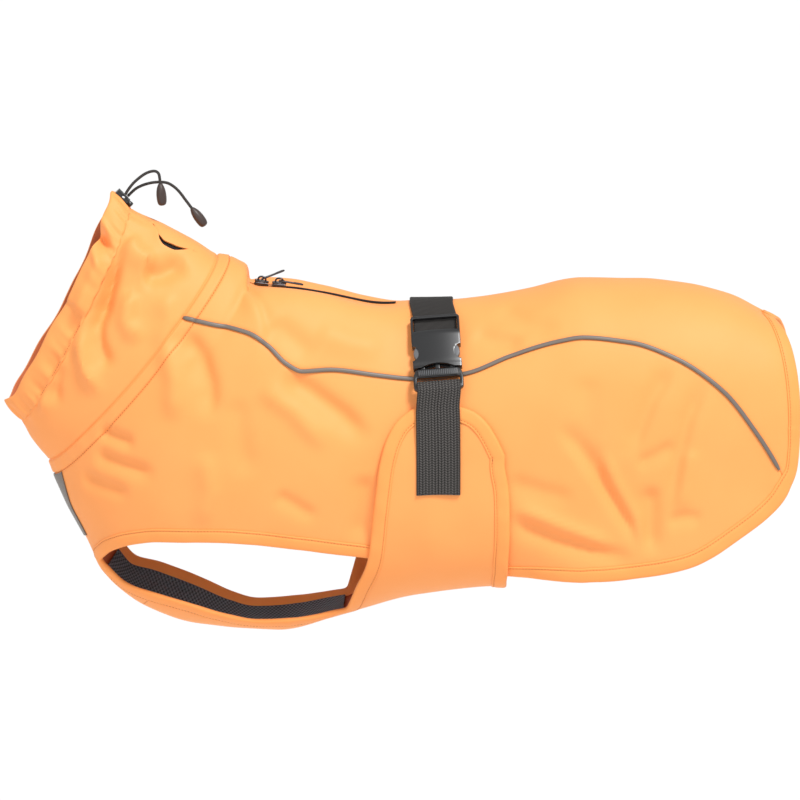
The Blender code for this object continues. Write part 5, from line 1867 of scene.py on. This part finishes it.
@dataclass
class Buckle:
    """The side-release buckle, fastened: the upper socket half and the lower plug half."""

    half_width: float = 22.3
    notch_radius: float = 8.0
    notch_x: float = 24.2
    notch_y: float = 34.5
    crown: float = 1.9

    def barrel(self, x: float, y: float) -> float:
        """How far the socket's top stands up: a barrel with a lip at its foot."""
        groove, shoulder_drop = 0.7 * math.exp(-(((y - 21) / 3.0) ** 2)), 1.6 * max(0, (y - 53) / 5) ** 2
        return self.crown * (1 - (x / self.half_width) ** 2) - groove - shoulder_drop

    def socket(self, rack: Rack, axes: Matrix) -> Object:
        """Make the socket half: its crowned body, the frame round the strap and the thin top bar."""
        low, high = (-self.half_width, 19.5, 1.0), (self.half_width, 57.5, 9.6)
        body = crowned_block("socket_body", low, high, self.barrel, axes, 26)
        cutters = [drum("side_cut", (side * self.notch_x, self.notch_y, 6), self.notch_radius, 30, axes)
                   for side in (-1, 1)]
        cutters.append(drum("foot_cut", (0, -12.0, 6), 35.0, 30, axes, segments=96))
        hollow = crowned_block("plug_cavity", (-19.2, 15, 3), (19.2, 53, 8.4), lambda x, y: 0.0, axes, 2)
        body = carved(body, [*cutters, hollow], 0.7)
        frame_edge = rounded_box((-self.half_width, 54.0), (self.half_width, 74.2), 3.2)
        slot = rounded_box((-20.2, 58.0), (20.2, 71.2), 1.4)
        loop = flat_part("socket_loop", [frame_edge, slot], 5.0, 1.1, off_face(axes, 4.9))
        rails = []
        for side in (-1, 1):
            path = [(side * 21.4, y, z) for y, z in ((46, 8.0), (52, 8.6), (58, 8.0), (66, 7.1), (71.5, 6.6))]
            rails.append(rod("rail", smooth_line(moved(axes, path), 1.5), 1.15, 10))
        made = joined("socket_half", tinted(rack.plastic, body, loop, *rails), 35)
        return dress(made, None, "buckle_plastic", "buckle_female")

    def plug(self, rack: Rack, axes: Matrix) -> Object:
        """Make the plug half: the ribbed crossbar, the flared rails, the strap's bar and two prongs."""
        half = [(22.8, 0.6), (23.0, 8.0), (22.4, 13.0), (20.8, 16.8), (18.6, 18.6)]
        outer = half + [(-x, y) for x, y in half[::-1]]
        lower = arc((-19.4, 0.6), 3.4, 180, 270, 4) + arc((19.4, 0.6), 3.4, 270, 360, 4)
        slot = rounded_box((-19.6, 3.9), (19.6, 9.6), 1.0)
        base = flat_part("plug_base", [outer + lower, slot], 5.0, 1.0, off_face(axes, 6.4))
        crossbar = rounded_box((-18.4, 10.3), (18.4, 17.4), 1.0)
        bar = flat_part("plug_bar", [crossbar], 3.0, 0.7, off_face(axes, 8.6))
        lens = smooth_line(PRONG_LENS, 0.8)
        prongs = []
        for side in (-1, 1):
            outline = [(side * x, y) for x, y in (*lens, (13.0, 42.6), (13.0, 27.0))]
            prongs.append(flat_part("prong", [outline], 5.6, 0.9, off_face(axes, 6.5)))
        stems = [flat_part("stem", [rounded_box((x - 2.2, 16), (x + 2.2, 46), 0.9)], 3.6, 0.6,
                           off_face(axes, 6.2)) for x in (-13.6, 0, 13.6)]
        line = moved(axes, [(x, 13.9, 10.2) for x in (-17.2, 17.2)])
        ribs = BEADS.lay("ribs", [line], 1.72, (0.95, 6.6, 0.9), rack.prong_plastic, tuple(axes.col[2][:3]))
        tinted(rack.plastic, base, bar, *stems)
        tinted(rack.prong_plastic, *prongs)
        made = joined("plug_half", [base, bar, *prongs, *stems, ribs], 35)
        return dress(made, None, "buckle_plastic", "buckle_male")


# Zip


def zip_axes(x: float, lift: float = 0.0) -> Matrix:
    """The axes at a place on the zip: X along it to the tail, Z off the back."""
    return off_face(back_axes(*(FORM.point(at, 0.0) for at in (x, x - 5, x + 5))), lift)


@dataclass
class Slider:
    """A slider and its pull tab, which hangs on the slider's bridge."""

    end: str
    x: float
    pull_angle: float
    lift: float = 1.0
    hinge_height: float = 5.6

    def shield(self, width: float) -> list:
        """The outline of a slider plate: broad with two lobes in front, narrow behind."""
        half = [(-6.6, 1.4), (-6.2, 3.2), (-4.2, width), (-1.0, width), (2.4, 0.82 * width),
                (5.4, 0.62 * width), (6.5, 0.4 * width), (6.7, 0.0)]
        return [(-5.6, 0.0)] + half + [(x, -y) for x, y in half[-2::-1]]

    def build(self, rack: Rack) -> list[Object]:
        """Make the slider's two plates and bridge, and the tab on its own body."""
        axes = zip_axes(self.x, self.lift)
        parts = [flat_part("plate", [self.shield(4.5)], 1.7, 0.5, off_face(axes, z)) for z in (0.7, 3.5)]
        arch = ((-3.4, 3.6), (-3.5, 5.6), (-2.4, 7.3), (0, 7.9), (2.4, 7.3), (3.5, 5.6), (3.4, 3.6))
        rods = [("flange", 1.35, 1.0, [(x, side * y, 2.0) for x, y in ((-5.2, 3.7), (0, 3.5), (4.8, 2.4))])
                for side in (-1, 1)]
        rods += [("post", 1.1, 1.0, [(-6.0, 0, 2.0), (-2.0, 0, 2.0)]),
                 ("bridge", 0.85, 0.8, [(x, 0, z) for x, z in arch])]
        for name, radius, step, path in rods:
            parts.append(rod(name, smooth_line(moved(axes, path), step), radius, 10))
        body = joined("slider_body_" + self.end, tinted(rack.metal, *parts), 40)
        dress(body, None, "zip_metal", "slider_" + self.end)
        hinge = zip_axes(self.x, self.lift + self.hinge_height)
        tilted = hinge @ Matrix.Rotation(math.radians(-self.pull_angle), 4, "Y")
        half = [(-0.7, 2.0), (0.2, 2.7), (4, 2.65), (8, 2.3), (13, 2.2), (17, 2.6), (20.4, 2.6), (22, 1.7),
                (22.6, 0)]
        outline = half + [(x, -y) for x, y in half[-2::-1]]
        eye = rounded_box((0.8, -1.5), (5.0, 1.5), 0.7)
        hole = rounded_box((14.2, -1.15), (20.4, 1.15), 1.1)
        tab = flat_part("tab", [outline, eye, hole], 1.3, 0.4, tilted)
        ring = [(*point, 0.45) for point in rounded_box((13.5, -1.8), (21.1, 1.8), 1.6)]
        rim = rod("rim", moved(tilted, ring + ring[:1]), 0.42, 8)
        name = "pull_" + self.end
        tab = joined("tab_" + self.end, tinted(rack.metal, tab, rim), 40)
        return [body, dress(tab, None, "zip_metal", name, body=name)]


@dataclass
class Zip:
    """The closed zip: its woven tape under the slot and its coil's teeth in it."""

    tape_half_width: float = 9.5
    coil_start_x: float = -135.1
    coil_end_x: float = -34.0

    def build(self, rack: Rack) -> list[Object]:
        """Make the tape and the teeth."""
        stations = np.linspace(ZIP_FRONT + 0.1, ZIP_REAR + 0.15, 60)
        across = np.linspace(-1, 1, 15)
        rows = []
        for station in stations:
            half = float(SECTION_CURVES["half_width"](station))
            power = float(SECTION_CURVES["top_power"](station)) / 2
            edge = math.degrees(math.asin((self.tape_half_width / half) ** power))
            rows.append(across * edge)
        lift = -CLOTH - 0.7 + 1.5 * bell(across, 0.16)
        tape = closed_sheet("zip_tape_cloth", [wall(stations[:, None], np.array(rows), lift, 0.8)])
        tape = dress(tape, rack.zip_weave, "zip_tape", "zip_tape")
        line = np.linspace(*FORM.station_at(np.array((self.coil_start_x, self.coil_end_x)), 0.0), 60)
        teeth = []
        for side, begin in ((-1, 0.0), (1, 0.006)):
            points = FORM.at(line + begin, 0.0, 1.5, creased=False) + (0, side * 0.85, 0)
            teeth.append(BEADS.lay("teeth", [points], 1.25, (1.0, 2.1, 1.3), rack.coil, sway=0.05))
        core = rod("core", FORM.at(line, 0.0, 0.55, creased=False), 1.6, 8)
        coil = joined("zip_teeth", [*teeth, *tinted(rack.coil, core)])
        return [tape, dress(coil, None, "zip_tape", "zip_coil")]


# Drawcord

CORD_SHORT_ROUTE = [
    (-0.2831, -0.003, 0.1024), (-0.2802, -0.003, 0.1072), (-0.2746, -0.0035, 0.1141),
    (-0.2662, -0.0045, 0.1211), (-0.2596, -0.0055, 0.1243), (-0.2547, -0.006, 0.1246),
    (-0.2519, -0.0065, 0.1222), (-0.251, -0.0065, 0.1173), (-0.2506, -0.0065, 0.1131),
]
CORD_LONG_ROUTE = [
    (-0.2811, 0.003, 0.0999), (-0.277, 0.0032, 0.104), (-0.2729, 0.0035, 0.1073), (-0.2662, 0.004, 0.1104),
    (-0.2579, 0.005, 0.1123), (-0.2497, 0.0055, 0.1126), (-0.2438, 0.006, 0.1114), (-0.238, 0.006, 0.1078),
    (-0.233, 0.006, 0.1027), (-0.2281, 0.006, 0.096), (-0.2222, 0.006, 0.088),
]
CORD_END_PROFILE = [
    (1.5, 0.6), (2.4, 0.2), (3.2, -1.2), (4.3, -3.4), (5.2, -6.6), (5.6, -10.0), (5.6, -13.6), (5.2, -16.6),
    (4.2, -18.8), (2.4, -19.8), (0.6, -20.0),
]


@dataclass
class DrawCord:
    """One free end of the drawcord and its moulded end piece."""

    end: str
    route: list
    radius: float = 1.35

    def build(self, rack: Rack) -> list[Object]:
        """Make the cord and its end."""
        path = smooth_line(np.array(self.route) / MM, 1.2)
        cord = rod("drawcord_" + self.end, path, self.radius, 14)
        way = Vector(path[-1] - path[-2]).normalized()
        axes = way.to_track_quat("-Z", "Y").to_matrix().to_4x4()
        axes.translation = Vector(path[-1]) + way * 0.4
        profile = smooth_line([(r, 0, z) for r, z in CORD_END_PROFILE], 0.8)
        turns = np.linspace(0, 2 * math.pi, 28, endpoint=False)
        rows = [moved(axes, [(r * math.cos(t), r * 0.82 * math.sin(t), z) for t in turns])
                for r, z in zip(np.maximum(profile[:, 0], 0.4), profile[:, 2])]
        tip = swept("cord_tip_" + self.end, np.array(rows), sharp=70)
        dress(tip, rack.cord_end, "elastic_cord", "cord_end_" + self.end)
        dress(cord, rack.cord, "elastic_cord", "cord_" + self.end)
        return [cord, tip]


@dataclass
class CordLock:
    """The cord lock on top of the casing, with its plunger."""

    low: tuple = (-7.6, -5.0, 0.2)
    high: tuple = (6.8, 5.0, 5.0)
    hole_radius: float = 1.7
    plunger_places: tuple = (5.6, 7.2, 8.8, 10.2, 11.2, 11.6)
    plunger_radii: tuple = (2.1, 2.1, 2.5, 2.7, 2.4, 1.6)

    def crown(self, x: float, y: float) -> float:
        """How far the lock's top stands up: a barrel with a groove across its middle."""
        return 0.9 * (1 - (y / self.high[1]) ** 2) - 0.25 * math.exp(-((x / 1.2) ** 2))

    def build(self, rack: Rack) -> Object:
        """Make the lock."""
        front, rear = (Vector(FORM.bare(s, 0.0)) for s in (0.0, CASING_SEAM))
        axes = off_face(back_axes((front + rear) / 2, front, rear), 0.6)
        block = crowned_block("lock_body", self.low, self.high, self.crown, axes, 14)
        hole = drum("cord_hole", (0.5, 0, 3.0), self.hole_radius, 30, axes, upright=False, segments=24)
        body = carved(block, [hole], 0.8)
        stem = moved(axes, [(x, 0, 3.0) for x in self.plunger_places])
        plunger = rod("plunger", stem, self.plunger_radii, 20)
        made = joined("lock", tinted(rack.plastic, body, plunger), 35)
        return dress(made, None, "buckle_plastic", "cord_lock")


# The studio


@dataclass
class Studio:
    """The camera, the floor and the light."""

    elevation: float = 12.0
    distance: float = 5.0
    target: tuple = (-0.0298, 0.0, -0.0919)
    lens: float = 241.9
    floor_height: float = -1500.0
    sky: float = 0.62

    def build(self) -> None:
        """Set up the studio."""
        camera = placed("camera", bpy.data.cameras.new("camera"))
        camera.data.lens, camera.data.sensor_width = self.lens, 36.0
        turn = math.radians(self.elevation)
        away = Vector((0, -math.cos(turn), math.sin(turn))) * self.distance
        camera.location = Vector(self.target) + away
        camera.rotation_euler = (math.radians(90) - turn, 0, 0)
        camera.data.clip_end = 60
        bpy.context.scene.camera = camera
        self.light()
        self.floor()
        bpy.context.scene.view_settings.view_transform = "Standard"

    def light(self) -> None:
        """An even white sky and a broad, soft sun."""
        world = bpy.data.worlds.new("studio")
        bpy.context.scene.world = world
        world.use_nodes = True
        nodes = Nodes(world.node_tree)
        seen = nodes.add("ShaderNodeLightPath").outputs["Is Camera Ray"]
        strength = nodes.add("ShaderNodeMapRange", {0: seen, 3: self.sky, 4: 1.05}).outputs[0]
        nodes.fill(world.node_tree.nodes["Background"], {"Color": (1, 1, 1, 1), "Strength": strength})
        suns = (("key", (-0.38, 0.5, -0.85), 2.75, 14), ("fill", (0.35, 0.8, -0.35), 0.5, 50))
        for name, way, power, angle in suns:
            sun = placed(name, bpy.data.lights.new(name, "SUN"))
            sun.data.energy, sun.data.angle = power, math.radians(angle)
            sun.rotation_euler = Vector(way).to_track_quat("-Z", "Y").to_euler()

    def floor(self) -> None:
        """A plain pale floor."""
        bm = bmesh.new()
        bmesh.ops.create_grid(bm, x_segments=1, y_segments=1, size=40000.0)
        floor = baked("floor", bm, Matrix.Translation((0, 0, self.floor_height)))
        material = bpy.data.materials.new("floor")
        material.use_nodes = True
        Nodes(material.node_tree).fill(material.node_tree.nodes["Principled BSDF"],
                                       {"Base Color": (0.74, 0.74, 0.74, 1), "Roughness": 0.9})
        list(tinted(material, floor))


@dataclass
class Stitching:
    """The lines of stitches in the cloth."""

    pitch: float = 3.0
    size: tuple = (2.3, 0.5, 0.42)

    def seams(self) -> list[Array]:
        """The stitch lines of the neck band and of the casing."""
        turns = np.linspace(-180, 180, 400)
        lines = [FORM.at(NECK_TOPSTITCH, turns[np.abs(turns) < 176], 0.22)]
        lines.append(FORM.at(0.955, turns, 0.35, creased=False))
        return lines

    def build(self, rack: Rack, bindings: Sequence[Binding]) -> Object:
        """Sew every line."""
        lines = self.seams() + [line for binding in bindings for line in binding.stitches()]
        obj = BEADS.lay("topstitching", lines, self.pitch, self.size, rack.thread, sway=0.06)
        return dress(obj, None, "shell_cloth")


BEADS = BeadRun()


def main() -> None:
    """Build the coat, piece by piece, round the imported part."""
    logging.basicConfig(level=logging.INFO, format="%(message)s")
    rack = Rack()
    Studio().build()
    for end, route in (("short", CORD_SHORT_ROUTE), ("long", CORD_LONG_ROUTE)):
        DrawCord(end, route).build(rack)
    CordLock().build(rack)
    BackYoke().build(rack)
    collar = Collar()
    collar.build(rack)
    collar.build_patch(rack)
    CordCasing().build(rack)
    outline = WingOutline()
    belly = BellyPiece(outline)
    belly.build(rack)
    belly.build_lining(rack)
    bindings = []
    for flank in Flank:
        word = flank.word
        SidePanel(flank).build(rack)
        Piping(flank).build(rack)
        bindings += [
            Binding("leg_tape_" + word, "leg_binding_" + word, leg_track(flank)),
            Binding("hem_tape_" + word, "hem_binding_" + word, hem_track(flank), stitch_insets=(10.7, 3.4)),
            Binding("wing_tape_" + word, "wing_binding_" + word, wing_track(flank, outline)),
        ]
    for binding in bindings:
        binding.build(rack)
    Stitching().build(rack, bindings)
    ChestStrip().build(rack)
    straps = Straps()
    straps.build(rack)
    buckle = Buckle()
    buckle.socket(rack, straps.axes)
    buckle.plug(rack, straps.axes)
    Zip().build(rack)
    Slider("front", -158.5, 30.0).build(rack)
    Slider("rear", -142.0, -5.0).build(rack)


if __name__ == "__main__":
    main()
